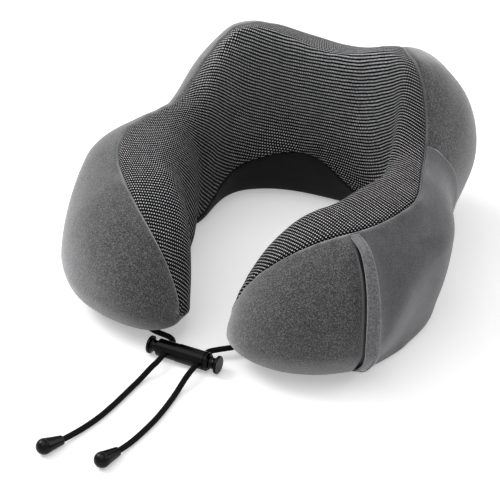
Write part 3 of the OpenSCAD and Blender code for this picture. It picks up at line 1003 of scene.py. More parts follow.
def edge_points(grid: np.ndarray, keep: np.ndarray) -> np.ndarray:
    """The points on the rim of a grid's kept faces.

    A point on the rim touches at least one kept face and one missing one. Faces that
    would lie past the grid's ends count as missing.

    Args:
        grid: (rows, columns, 3) array.
        keep: (rows - 1, columns - 1) truth values.

    Returns:
        (m, 3) array.
    """
    padded = np.pad(keep, 1)
    around = [padded[:-1, :-1], padded[1:, :-1], padded[:-1, 1:], padded[1:, 1:]]
    count = sum(part.astype(int) for part in around)
    return grid[(count > 0) & (count < len(around))]


def ease(x: np.ndarray) -> np.ndarray:
    """0 below 0, 1 above 1 and a smooth S between: 3 x^2 - 2 x^3."""
    x = np.clip(x, 0, 1)
    return x * x * (3 - 2 * x)


def distance_gone(line: np.ndarray) -> np.ndarray:
    """How far along a line of points each of them lies."""
    steps = np.linalg.norm(np.diff(line, axis=0), axis=1)
    return np.concatenate([[0], np.cumsum(steps)])


def along_line(at: np.ndarray, gone: np.ndarray, line: np.ndarray) -> np.ndarray:
    """A line's points at the distances asked for, straight between its own."""
    return np.stack([np.interp(at, gone, line[:, k]) for k in range(3)], axis=-1)


# ---------------------------------------------------------------- the pillow's form

@dataclass(frozen=True)
class PillowForm:
    """The cover's outer surface: a section carried round a horseshoe.

    Angles run from 0 at the middle of the back to 171 degrees at each nose's tip, and
    lanes run round the section from the inner base edge (0) by the inner waist (1), the
    crest (2), the outer waist (3) and the outer base edge (4) back under the base (5).
    Each lane quarter is a quarter of a superellipse, and the outer foot of each lobe
    spreads on the floor. Sizes are given at five stations and eased between them by
    half a cosine. Past the nose's start the section shrinks to a point as a quarter
    circle.

    Radii and heights are in mm and angles in degrees. A roundness of 2 is an ellipse.
    """

    stations: tuple[float, ...] = (0, 40, 75, 105, 135)
    inner_r: tuple[float, ...] = (76, 80, 66, 56, 64)
    crest_r: tuple[float, ...] = (84, 90, 88, 86, 82)
    outer_r: tuple[float, ...] = (140, 140, 112, 132, 146)
    crest_h: tuple[float, ...] = (122, 136, 92, 92, 90)
    inner_bulge_h: tuple[float, ...] = (62, 48, 48, 50, 56)
    outer_bulge_h: tuple[float, ...] = (74, 74, 62, 64, 28)
    inner_tuck: tuple[float, ...] = (18, 22, 12, 9, 10)
    outer_tuck: tuple[float, ...] = (14, 14, 22, 18, 26)
    seam_lane: tuple[float, ...] = (2.6, 2.07, 2.17, 2.26, 2.2)
    roundness: tuple[float, ...] = (2.0, 2.6, 2.0, 1.6)
    nose_start: float = 130.0
    nose_span: float = 41.0
    nose_r: float = 106.0
    nose_h: float = 20.0
    centre_y: float = -7.5
    centre_h: float = 45.0
    band_middle: float = -26.0
    band_half: float = 68.0
    band_top: float = 0.85
    skirt: float = 3.0
    skirt_at: float = 115.0
    skirt_wide: float = 9.0
    skirt_power: int = 6

    @property
    def tip(self) -> float:
        """Angle of a nose's tip."""
        return self.nose_start + self.nose_span

    def at(self, sizes: Sequence[float], angle: np.ndarray) -> np.ndarray:
        """A station size at any angle, eased by half a cosine between stations.

        Args:
            sizes: One number per station.
            angle: Angles in degrees.

        Returns:
            The size at each angle.
        """
        stations, values = np.array(self.stations, float), np.array(sizes, float)
        a = np.minimum(np.abs(angle), self.nose_start)
        i = np.clip(np.searchsorted(stations, a, side="right") - 1, 0, len(stations) - 2)
        share = (a - stations[i]) / (stations[i + 1] - stations[i])
        share = (1 - np.cos(np.pi * share)) / 2
        return values[i] + (values[i + 1] - values[i]) * share

    def section(self, angle: np.ndarray, lane: np.ndarray,
                inset: np.ndarray | float = 0.0) -> tuple[np.ndarray, np.ndarray]:
        """Radius and height on the section.

        Each quarter goes from one waist, crest or edge to the next by sine and cosine of
        its quarter turn, each to the power 2 / roundness. The skirt adds a bell over the
        angle to the outer foot. The base is flat.

        Args:
            angle: Angles in degrees.
            lane: Lanes from 0 to 5.
            inset: How far inside the cover's surface, in mm.

        Returns:
            Radius from the centre line and height, in mm.
        """
        ri = self.at(self.inner_r, angle) + inset
        ro = self.at(self.outer_r, angle) - inset
        rc = self.at(self.crest_r, angle)
        high = self.at(self.crest_h, angle) - inset
        zi, zo = self.at(self.inner_bulge_h, angle), self.at(self.outer_bulge_h, angle)
        base_in = ri + self.at(self.inner_tuck, angle)
        base_out = ro - self.at(self.outer_tuck, angle)
        low = np.maximum(inset, 0)
        from_skirt = (np.abs(angle) - self.skirt_at) / self.skirt_wide
        push = self.skirt * np.exp(-from_skirt ** 2)
        q = np.pi / 2 * (lane - np.floor(lane))
        s, c = np.clip(np.sin(q), 0, 1), np.clip(np.cos(q), 0, 1)
        n0, n1, n2, n3 = (2 / n for n in self.roundness)
        which = [lane < 1, lane < 2, lane < 3, lane < 4]
        r = np.select(which, [
            base_in - (base_in - ri) * s ** n0, rc - (rc - ri) * c ** n1,
            rc + (ro - rc) * s ** n2,
            base_out + (ro - base_out) * c ** n3 + push * s ** self.skirt_power,
        ], base_out + push * (5 - lane) + (base_in - base_out) * (lane - 4))
        z = np.select(which, [
            zi - (zi - low) * c ** n0, zi + (high - zi) * s ** n1,
            zo + (high - zo) * c ** n2, zo - (zo - low) * s ** n3], low + 0 * lane)
        return r, z

    def points(self, angle: np.ndarray, lane: np.ndarray,
               inset: np.ndarray | float = 0.0) -> np.ndarray:
        """Points of the surface.

        On a nose, radius and height go from the section's to the tip's by
        sqrt(1 - t^2), t being how far along the nose they are.

        Args:
            angle: Angles in degrees, positive on the pocket's side.
            lane: Lanes from 0 to 5.
            inset: How far inside the cover's surface, in mm.

        Returns:
            (..., 3) array in mm.
        """
        angle, lane = np.broadcast_arrays(angle, lane)
        r, z = self.section(angle, lane, inset)
        turn = np.abs(angle)
        t = np.clip((turn - self.nose_start) / self.nose_span, 0, 1)
        s = np.sqrt(1 - t * t)
        r = self.nose_r + (r - self.nose_r) * s
        z = self.nose_h + (z - self.nose_h) * s
        turn = turn - t * np.degrees(inset / self.nose_r)
        theta = np.radians(turn) * np.sign(angle)
        return np.stack([r * np.sin(theta), self.centre_y + r * np.cos(theta), z], axis=-1)

    def turns(self, start: float, end: float, step: float = 1.3,
              nose_steps: int = 34) -> np.ndarray:
        """Angles for a panel's columns, closer together towards a nose's tip.

        Past the nose's start they run as nose_start + nose_span * sin(q), q in even steps.

        Args:
            start: First angle.
            end: Last angle, above the first.
            step: Spacing before the nose, in degrees.
            nose_steps: Columns from a nose's start to its tip.

        Returns:
            The angles, each shape's own breaks among them.
        """
        lobe_end = self.nose_start
        lobe = np.linspace(0, lobe_end, round(lobe_end / step) + 1)
        nose = lobe_end + self.nose_span * np.sin(np.linspace(0, np.pi / 2, nose_steps + 1))
        half = np.concatenate([lobe, nose[1:]])
        full = np.concatenate([-half[:0:-1], half])
        inner = full[(full > start + step / 4) & (full < end - step / 4)]
        return np.concatenate([[start], inner, [end]])

    def centre(self, angle: np.ndarray) -> np.ndarray:
        """A line inside the form, for telling in from out.

        Args:
            angle: (rows,) angles in degrees.

        Returns:
            (rows, 1, 3) array in mm.
        """
        r = (self.at(self.inner_r, angle) + self.at(self.outer_r, angle)) / 2
        t = np.clip((np.abs(angle) - self.nose_start) / self.nose_span, 0, 1)
        high = self.centre_h + (self.nose_h - self.centre_h) * t
        theta = np.radians(angle)
        line = [r * np.sin(theta), self.centre_y + r * np.cos(theta), high]
        return np.stack(line, axis=-1)[:, None]

    def seam(self, angle: np.ndarray) -> np.ndarray:
        """Lane of the seam between knit and velour."""
        return self.at(self.seam_lane, angle)

    def band(self, angle: np.ndarray) -> np.ndarray:
        """Lane of the neck band's upper edge: a parabola about where the band has turned.

        Args:
            angle: Angles in degrees.

        Returns:
            The lane, 0 where there is no band.
        """
        share = (angle - self.band_middle) / self.band_half
        return np.maximum(self.band_top * (1 - share ** 2), 0)

    def wall_lane(self, z: float) -> float:
        """Lane of a height on the back's lower outer wall, its quarter turned round.

        Args:
            z: Height in mm.

        Returns:
            The lane.
        """
        top = self.outer_bulge_h[0]
        return 3 + math.asin((1 - z / top) ** (self.roundness[3] / 2)) / (math.pi / 2)


@dataclass(frozen=True)
class PocketLine:
    """Where the pocket lies on the right side, how its elastic mouth presses in, and
    where painted shade lies under the mouth.

    Angles are in degrees and depths in mm. The top, foot and low values are shares of
    the pocket's height, and a ramp is the reach over which a change sets in.
    """

    form: PillowForm
    start: float = 67.0
    mouth: float = 130.0
    mouth_lean: float = 4.0
    lean_lanes: float = 0.8
    seam_gap: float = 0.015
    low_lane: float = 3.85
    press: float = 5.2
    press_low: float = 0.35
    press_over: float = 2.2
    press_past: float = 1.0
    press_from: float = 79.0
    press_ramp: float = 32.0
    top_ramp: float = 0.12
    foot_ramp: float = 0.22
    # Where painted shade, near black, lies on the side panel under the mouth:
    dark_past: float = 0.6
    dark_ramp: float = 0.8
    dark_low: float = 0.93
    dark_low_ramp: float = 0.06
    close_before: float = 3.0
    close_after: float = 2.0
    close_count: int = 20

    def lanes(self, angle: np.ndarray, share: np.ndarray) -> np.ndarray:
        """Lanes from the knit's seam (share 0) to the pocket's foot (share 1)."""
        top = self.form.seam(angle) + self.seam_gap
        return top + (self.low_lane - top) * share

    def share(self, angle: np.ndarray, lane: np.ndarray) -> np.ndarray:
        """How far down the pocket a lane is, from 0 to 1."""
        top = self.form.seam(angle) + self.seam_gap
        return np.clip((lane - top) / (self.low_lane - top), 0, 1)

    def mouth_at(self, lane: np.ndarray) -> np.ndarray:
        """Angle of the mouth's edge, which leans forward towards its low end."""
        top = self.form.seam_lane[-1]
        return self.mouth + self.mouth_lean * ease((lane - top) / self.lean_lanes)

    def dent(self, angle: np.ndarray, lane: np.ndarray) -> np.ndarray:
        """How deep the foam and side panel are pressed in behind the mouth.

        The press times an S down from the sewn top, up to the foot, in from the mouth's
        edge and out towards the rear, and less of it lower down.

        Args:
            angle: Angles in degrees.
            lane: Lanes.

        Returns:
            The depth in mm.
        """
        share = self.share(angle, lane)
        edge = ease((self.mouth_at(lane) + self.press_past - angle) / self.press_over)
        free = ease(share / self.top_ramp) * ease((1 - share) / self.foot_ramp)
        return (self.press * free * (1 - self.press_low * share) * edge
                * ease((angle - self.press_from) / self.press_ramp))

    def inside(self, angle: np.ndarray, lane: np.ndarray) -> np.ndarray:
        """Where painted shade lies on the side panel, under the pocket's mouth.

        Args:
            angle: Angles in degrees.
            lane: Lanes.

        Returns:
            0 outside to 1 inside.
        """
        share = self.share(angle, lane)
        edge = ease((self.mouth_at(lane) + self.dark_past - angle) / self.dark_ramp)
        low = ease((self.dark_low - share) / self.dark_low_ramp)
        return edge * (angle > self.start) * (share > 0) * low

    def turns(self) -> np.ndarray:
        """Close angles about the mouth, for anything that has to follow the press."""
        return np.linspace(self.mouth - self.close_before,
                           self.mouth + self.mouth_lean + self.close_after,
                           self.close_count)


# ---------------------------------------------------------------- cover panels

class Hold(Enum):
    STRETCHED = "stretched"
    LAID = "laid"


@dataclass
class ClothSpec:
    """How one cloth panel is cut and finished.

    Attributes:
        name: The piece's name.
        node: The CAD node that it stands for.
        slot: The record's material slot; not used.
        flat: Width and length of the cut, in mm; not used.
        share: Flat area as a share of width times length; not used.
        thickness: Cloth thickness, in mm.
        roll: Width of the turned edge at a seam, in mm.
        sink: Depth of the turned edge, in mm.
        pucker: Height of the small gathers along a seam, in mm.
        lumps: Height of the cover's soft unevenness, in mm.
        held: How it is held; not used.
    """

    name: str
    node: str
    slot: str
    flat: tuple[float, float]
    share: float
    thickness: float = 1.4
    roll: float = 3.4
    sink: float = 1.7
    pucker: float = 0.3
    lumps: float = 0.7
    held: Hold = Hold.STRETCHED


@dataclass(frozen=True)
class Swell:
    """Where the foam fills the cover out, or a seam draws it in.

    Its size is in mm, below zero where it draws in, its middle and half width in
    degrees, and it runs from the low lane to the high one.
    """

    size: float
    angle: float
    wide: float
    low: float
    high: float

    def rise(self, angle: np.ndarray, lane: np.ndarray) -> np.ndarray:
        """A bell over the angle times half a sine over the lanes.

        Args:
            angle: Angles in degrees.
            lane: Lanes.

        Returns:
            The rise in mm.
        """
        share = np.clip((lane - self.low) / (self.high - self.low), 0, 1)
        return (self.size * np.exp(-((angle - self.angle) / self.wide) ** 2)
                * np.sin(np.pi * share))


@dataclass(frozen=True)
class Lump:
    """One scale of random unevenness.

    Spacing and height are in mm.
    """

    cell: float
    seed: int
    size: float

    def rise(self, points: np.ndarray) -> np.ndarray:
        """The lumps' heights at (..., 3) points in mm."""
        return self.size * wander(points, self.cell, self.seed)


@dataclass(frozen=True)
class KnitLay:
    """How the knit's rows lean on the form, and where it takes painted light and shade.

    Angles are in degrees, and a ramp is the reach over which a change sets in.
    """

    turn: float = 28.0
    lean: float = 0.6
    rise: float = 0.5
    over: float = 1.7
    over_lane: float = 2.05
    over_ramp: float = 0.45
    # Painted light on the knit: paler in the back's hollow. The crest and stretch values
    # below paint shade over the crest and lobes.
    hollow_middle: float = -12.0
    hollow_half: float = 64.0
    hollow_ramp: float = 30.0
    hollow_lane: float = 0.7
    hollow_lanes: float = 0.5
    painted_light_gain: float = 1.4
    crest_loss: float = 0.3
    crest_lane: float = 1.7
    crest_lanes: float = 0.3
    stretch: float = 0.4

    def up(self, angle: np.ndarray, lane: np.ndarray) -> np.ndarray:
        """The direction that the knit's columns follow, before it lies on the surface.

        Args:
            angle: Angles in degrees.
            lane: Lanes.

        Returns:
            (rows, columns, 3) array of directions.
        """
        theta = np.radians(angle)
        rear = np.maximum(np.cos(theta), 0)
        upright = self.lean + rear * (
            self.rise - self.over * ease((lane - self.over_lane) / self.over_ramp))
        turned = np.radians(-self.turn * np.sin(theta))
        return np.stack([-np.sin(turned), np.cos(turned), upright], axis=-1)

    def painted_light(self, angle: np.ndarray, lane: np.ndarray) -> np.ndarray:
        """Painted light on the knit, above 0 in the back's hollow and less near the crest,
        and painted shade, below 0, over the lobes.

        Args:
            angle: Angles in degrees.
            lane: Lanes.

        Returns:
            (rows, columns) array.
        """
        away = np.abs(angle - self.hollow_middle)
        hollow = (ease((self.hollow_half - away) / self.hollow_ramp)
                  * ease((lane - self.hollow_lane) / self.hollow_lanes))
        crest = ease((lane - self.crest_lane) / self.crest_lanes)
        return self.painted_light_gain * hollow * (1 - self.crest_loss * crest) - self.stretch


@dataclass
class Cover:
    """The sewn cover over the foam, panel by panel.

    Lengths and heights are in mm, and half the zip's opening in degrees. Lanes, rows and
    grids count points. The lumps' sizes are shares of a panel's own.
    """

    form: PillowForm
    pocket: PocketLine
    finishes: Finishes
    knit: KnitLay = KnitLay()
    foam_inset: float = 3.6
    foam_lanes: int = 100
    knit_rows: int = 84
    band_rows: int = 34
    side_rows: int = 44
    tuck_rows: int = 7
    under_rows: int = 12
    base_grid: tuple[int, int] = (150, 26)
    guard_grid: tuple[int, int] = (70, 9)
    zip_half: float = 35.0
    zip_top: float = 20.0
    zip_low: float = 10.0
    band_reach: float = 0.985
    lumps: tuple[Lump, ...] = (Lump(34, 3, 0.75), Lump(15, 4, 0.3))
    calm: float = 14.0
    pucker_length: float = 11.0
    pucker_way: tuple[float, float, float] = (0.31, 0.55, 0.42)
    pucker_stray: Lump = Lump(22, 8, 5)
    pucker_gain: float = 2.0
    pucker_fade: float = 6.0
    pucker_start: float = 1.5
    flat_base: float = 1.0
    flat_ramp: float = 8.0
    rest_gap: float = 0.02
    swells: tuple[Swell, ...] = (
        Swell(2.6, 48.0, 22.0, 2.5, 3.35), Swell(-3.6, 53.0, 13.0, 3.1, 4.0),
        Swell(3.1, -139.0, 9.0, 2.85, 3.8), Swell(-2.7, -48.0, 9.0, 1.9, 2.9),
        Swell(3.0, 28.0, 12.0, 1.9, 2.8))
    pieces: dict[str, bpy.types.Object] = field(default_factory=dict)

    def shaped(self, spec: ClothSpec, angle: np.ndarray, lane: np.ndarray,
               keep: np.ndarray, rise: np.ndarray | float = 0.0,
               inside: np.ndarray | float = 0.0) -> tuple[np.ndarray, np.ndarray]:
        """A panel's points: the form, its soft unevenness, gathers and turned edges.

        The turned edge is a quarter circle: sink * (1 - sqrt(1 - (1 - d/roll)^2)) inwards
        at distance d from the rim. Gathers are a sine along one slanting direction, times
        exp(-d / fade) * (1 - exp(-d / start)). Lumps are a smooth random field.

        Args:
            spec: The panel.
            angle: (rows, columns) angles in degrees.
            lane: (rows, columns) lanes.
            keep: Which faces the panel has.
            rise: How far above the form it lies, in mm.
            inside: How much painted shade it takes under the pocket's mouth, from 0 to 1.

        Returns:
            (rows, columns, 3) points in mm, and a (rows, columns, 2) layer for the
            velour: metres from the rim, for its painted highlight, and its painted shade.
        """
        grid = self.form.points(angle, lane)
        normals = grid_normals(grid, self.form.centre(angle[:, 0]))
        rim = edge_points(grid, keep)
        away = nearest_distance(grid.reshape(-1, 3), rim).reshape(lane.shape)
        turned = np.clip(1 - away / spec.roll, 0, 1)
        inward = spec.sink * (1 - np.sqrt(np.maximum(1 - turned ** 2, 0)))
        soft = spec.lumps * sum(lump.rise(grid) for lump in self.lumps)
        soft = soft * ease(away / self.calm)
        phase = grid @ np.array(self.pucker_way) + self.pucker_stray.rise(grid)
        wave = np.sin(math.tau * phase / self.pucker_length)
        fade = np.exp(-away / self.pucker_fade) * (1 - np.exp(-away / self.pucker_start))
        gather = spec.pucker * wave * fade * self.pucker_gain
        standing = ease((grid[..., 2] - self.flat_base) / self.flat_ramp)
        lift = (soft + gather) * standing - inward + self.fullness(angle, lane) + rise
        layer = np.stack([away * MM, 0 * away + inside], axis=-1)
        grid = grid + normals * lift[..., None]
        grid[..., 2] = np.maximum(grid[..., 2], self.rest_gap)
        return grid, layer

    def fullness(self, angle: np.ndarray, lane: np.ndarray) -> np.ndarray:
        """How far the cover lies over the form, all swells together, in mm."""
        return sum(swell.rise(angle, lane) for swell in self.swells)

    def finish(self, piece: bpy.types.Object, spec: ClothSpec,
               material: bpy.types.Material,
               with_pieces: Sequence[bpy.types.Object] = ()) -> None:
        """Args:
            piece: The panel.
            spec: How it is cut.
            material: Its finish.
            with_pieces: Pieces sewn on it; not used.
        """
        thicken(piece, spec.thickness)
        piece.data.materials.append(material)
        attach(piece, BODY)
        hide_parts(spec.node)
        self.pieces[spec.name] = piece
        area = sum(face.area for face in piece.data.polygons) / (10 * MM) ** 2
        LOG.info("%s: %d faces, %.0f square cm", spec.name, len(piece.data.polygons), area)

    def build(self) -> None:
        """Makes the foam and every panel."""
        self.foam_block()
        self.knit_top()
        self.neck_band()
        for side, label in ((-1, "left"), (1, "right")):
            self.velour_side(side, label)
        self.base_cloth()
        self.zip_guard()

    def foam_block(self) -> None:
        """The foam core, closed at both noses."""
        angle = np.union1d(self.form.turns(-self.form.tip, self.form.tip,
                                           step=2.6, nose_steps=16),
                           self.pocket.turns())
        around = np.linspace(0, 5, self.foam_lanes + 1)[:-1]
        turn, lane = angle[:, None], around[None, :]
        dent = self.pocket.dent(turn, lane) + np.maximum(-self.fullness(turn, lane), 0)
        grid = self.form.points(turn, lane, self.foam_inset + dent)
        piece = grid_object("foam_block", grid, self.form.centre(angle), wrap=True)
        piece.data.materials.append(self.finishes.foam)
        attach(piece, BODY)
        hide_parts("foam_core")
        LOG.info("foam_block: %d faces", len(piece.data.polygons))

    def knit_top(self) -> None:
        """The knit panel over the crest, from the neck band or inner base to the seam."""
        angle = self.form.turns(-self.form.tip, self.form.tip)[:, None]
        low, high = self.form.band(angle), self.form.seam(angle)
        lane = low + (high - low) * crowded(self.knit_rows, pull=1.3)[None, :]
        angle = np.broadcast_to(angle, lane.shape)
        spec = ClothSpec("knit_top", "knit_panel", "knit", (520, 190), 0.55,
                         thickness=1.2, lumps=0.8)
        inside = self.form.centre(angle[:, 0])
        grid, _ = self.shaped(spec, angle, lane, every_face(lane))
        weave = Weave(grid, grid_normals(grid, inside), self.knit.up(angle, lane))
        # Painted light and shade for the knit, carried in a UV layer.
        painted_light = self.knit.painted_light(angle, lane)
        piece = grid_object("knit_top", grid, inside, layers={
            "weave": weave.laid(), "painted_light": np.stack([painted_light, painted_light], axis=-1)})
        self.finish(piece, spec, self.finishes.knit)

    def neck_band(self) -> None:
        """The plain black band low on the inner wall."""
        reach = self.form.band_half * self.band_reach
        angle = self.form.turns(
            self.form.band_middle - reach, self.form.band_middle + reach)[:, None]
        lane = self.form.band(angle) * crowded(self.band_rows, pull=1.2)[None, :]
        angle = np.broadcast_to(angle, lane.shape)
        spec = ClothSpec("neck_band", "neck_panel", "lining", (165, 54), 0.67,
                         thickness=1.2, sink=1.4)
        grid, _ = self.shaped(spec, angle, lane, every_face(lane))
        piece = grid_object("neck_band", grid, self.form.centre(angle[:, 0]))
        self.finish(piece, spec, self.finishes.band)

    def velour_side(self, side: int, label: str) -> None:
        """One side panel: down the outer wall, under the nose, and above the zip.

        Args:
            side: 1 on the pocket's side and -1 on the other.
            label: The side's name.
        """
        turn = np.concatenate([
            self.form.turns(0, self.zip_half),
            self.form.turns(self.zip_half, self.form.tip)[1:]])
        if side > 0:
            turn = np.union1d(turn, self.pocket.turns())
        turn = turn[:, None] * side
        seam, zip_lane = self.form.seam(turn), self.form.wall_lane(self.zip_top)
        upper = seam + (zip_lane - seam) * crowded(self.side_rows, pull=1.0)[None, :]
        tuck = zip_lane + (4 - zip_lane) * np.linspace(0, 1, self.tuck_rows + 1)[1:]
        under = 4 + np.linspace(0, 1, self.under_rows + 1)[1:]
        rest = np.concatenate([tuck, under])[None, :]
        lane = np.concatenate([upper, np.broadcast_to(rest, (len(turn), rest.size))],
                              axis=1)
        angle = np.broadcast_to(turn, lane.shape)
        middle = (np.abs(angle[:-1, :-1]) + np.abs(angle[1:, 1:])) / 2
        row = np.arange(lane.shape[1] - 1)[None, :]
        keep = np.broadcast_to(row < self.side_rows - 1, middle.shape).copy()
        keep |= (middle > self.zip_half) & (row < self.side_rows - 1 + self.tuck_rows)
        keep |= middle > self.form.nose_start
        spec = ClothSpec(f"velour_side_{label}", f"side_panel_{label}", "velour",
                         (330, 175), 0.76)
        # The pocket's press, and the painted shade under its mouth.
        dent, inside = self.pocket.dent(angle, lane), self.pocket.inside(angle, lane)
        grid, rim = self.shaped(spec, angle, lane, keep, -dent, inside)
        piece = grid_object(spec.name, grid, self.form.centre(angle[:, 0]), keep=keep,
                            layers={"rim": rim})
        self.finish(piece, spec, self.finishes.velour)

    def base_cloth(self) -> None:
        """The flat lining under the pillow."""
        along, across = self.base_grid
        angle = np.linspace(-self.form.nose_start, self.form.nose_start, along)[:, None]
        angle, lane = np.broadcast_arrays(angle, 4 + crowded(across, pull=0.8)[None, :])
        spec = ClothSpec("base_cloth", "base_panel", "lining", (58, 300), 0.8,
                         roll=2.0, sink=0.8, pucker=0.0, lumps=0.0)
        grid, _ = self.shaped(spec, angle, lane, every_face(lane))
        piece = grid_object("base_cloth", grid, self.form.centre(angle[:, 0]))
        self.finish(piece, spec, self.finishes.lining)

    def zip_guard(self) -> None:
        """The strip of velour under the zip."""
        along, across = self.guard_grid
        low = self.form.wall_lane(self.zip_low)
        angle, lane = np.broadcast_arrays(
            np.linspace(-self.zip_half, self.zip_half, along)[:, None],
            low + (4 - low) * crowded(across, pull=0.8)[None, :])
        spec = ClothSpec("zip_guard", "zip_strip", "velour", (158, 13), 0.95,
                         roll=2.0, sink=0.8, pucker=0.1, lumps=0.2)
        grid, rim = self.shaped(spec, angle, lane, every_face(lane))
        piece = grid_object("zip_guard", grid, self.form.centre(angle[:, 0]),
                            layers={"rim": rim})
        self.finish(piece, spec, self.finishes.velour)


@dataclass
class Weave:
    """Lays the knit's rows and columns on the panel with as little stretch as possible.

    Columns follow one leaning direction laid on the surface, up and back, turned with
    the lobes; rows cross them. So rows run level round the back and down the inner
    walls. The flat coordinates are the least-squares fit of those directions' lengths
    along every edge of the grid, found by conjugate gradients, then brought to the
    cloth's own size.

    Lengths are in mm. A corner whose area squared is under small_corner does not count
    for the size.
    """

    grid: np.ndarray
    normals: np.ndarray
    lean: np.ndarray
    steps: int = 900
    short_edge: float = 0.3
    small_corner: float = 0.05
    close: float = 1e-4
    edges: list[np.ndarray] = field(init=False)
    weight: list[np.ndarray] = field(init=False)

    def __post_init__(self) -> None:
        """Measures the grid's edges and weights each way's by the other way's mean."""
        self.edges = [self.grid[1:] - self.grid[:-1], self.grid[:, 1:] - self.grid[:, :-1]]
        length = [np.maximum(np.linalg.norm(e, axis=2), self.short_edge)
                  for e in self.edges]
        mean = [float(np.mean(part)) for part in length]
        self.weight = [mean[1] / length[0], mean[0] / length[1]]

    def laid(self) -> np.ndarray:
        """The flat coordinates.

        Returns:
            (rows, columns, 2) array in metres, along the rows and along the columns.
        """
        up = self.lean - self.normals * np.sum(
            self.lean * self.normals, axis=2, keepdims=True)
        up /= np.maximum(np.linalg.norm(up, axis=2, keepdims=True), TINY)
        side = np.cross(up, self.normals)
        flat = [values * self.sized(values) for values in (self.fitted(side),
                                                           self.fitted(up))]
        return np.stack(flat, axis=-1) * MM

    def gathered(self, along: np.ndarray, across: np.ndarray,
                 start_sign: int = -1) -> np.ndarray:
        """Sums edge values onto the points at the edges' ends.

        Args:
            along: Values of the edges along the first direction.
            across: Values of the edges along the second direction.
            start_sign: What a value counts at its edge's start, against 1 at its end.

        Returns:
            (rows, columns) array.
        """
        total = np.zeros(self.grid.shape[:2])
        total[1:] += along
        total[:-1] += start_sign * along
        total[:, 1:] += across
        total[:, :-1] += start_sign * across
        return total

    def pull(self, values: np.ndarray) -> np.ndarray:
        """The grid's weighted Laplacian."""
        return self.gathered(self.weight[0] * (values[1:] - values[:-1]),
                             self.weight[1] * (values[:, 1:] - values[:, :-1]))

    def fitted(self, way: np.ndarray) -> np.ndarray:
        """Values whose steps along the edges fit a direction best.

        Args:
            way: (rows, columns, 3) unit directions.

        Returns:
            (rows, columns) array, its lowest 0.
        """
        wanted = [np.sum(self.edges[0] * (way[1:] + way[:-1]) / 2, axis=2),
                  np.sum(self.edges[1] * (way[:, 1:] + way[:, :-1]) / 2, axis=2)]
        diagonal = self.gathered(*self.weight, start_sign=1)
        values = np.zeros(self.grid.shape[:2])
        left = self.gathered(self.weight[0] * wanted[0], self.weight[1] * wanted[1])
        eased = left / diagonal
        step = eased.copy()
        power = float(np.sum(left * eased))
        for _ in range(self.steps):
            pulled = self.pull(step)
            move = power / max(float(np.sum(step * pulled)), sys.float_info.min)
            values += move * step
            left -= move * pulled
            if float(np.abs(left).max()) < self.close:
                break
            eased = left / diagonal
            new_power = float(np.sum(left * eased))
            step = eased + new_power / power * step
            power = new_power
        return values - values.min()

    def sized(self, values: np.ndarray) -> float:
        """What makes the values' median slope one, by each corner's two edges.

        Args:
            values: (rows, columns) array.

        Returns:
            The factor.
        """
        one, two = self.edges[0][:, :-1], self.edges[1][:-1]
        across = (values[1:] - values[:-1])[:, :-1]
        along = (values[:, 1:] - values[:, :-1])[:-1]
        g, h, k = (np.sum(a * b, axis=2) for a, b in ((one, one), (one, two), (two, two)))
        area = g * k - h * h
        counted = area > self.small_corner
        slope = (k * across ** 2 - 2 * h * across * along + g * along ** 2)[counted]
        return float(1 / np.sqrt(np.median(slope / area[counted])))


# ---------------------------------------------------------------- pocket

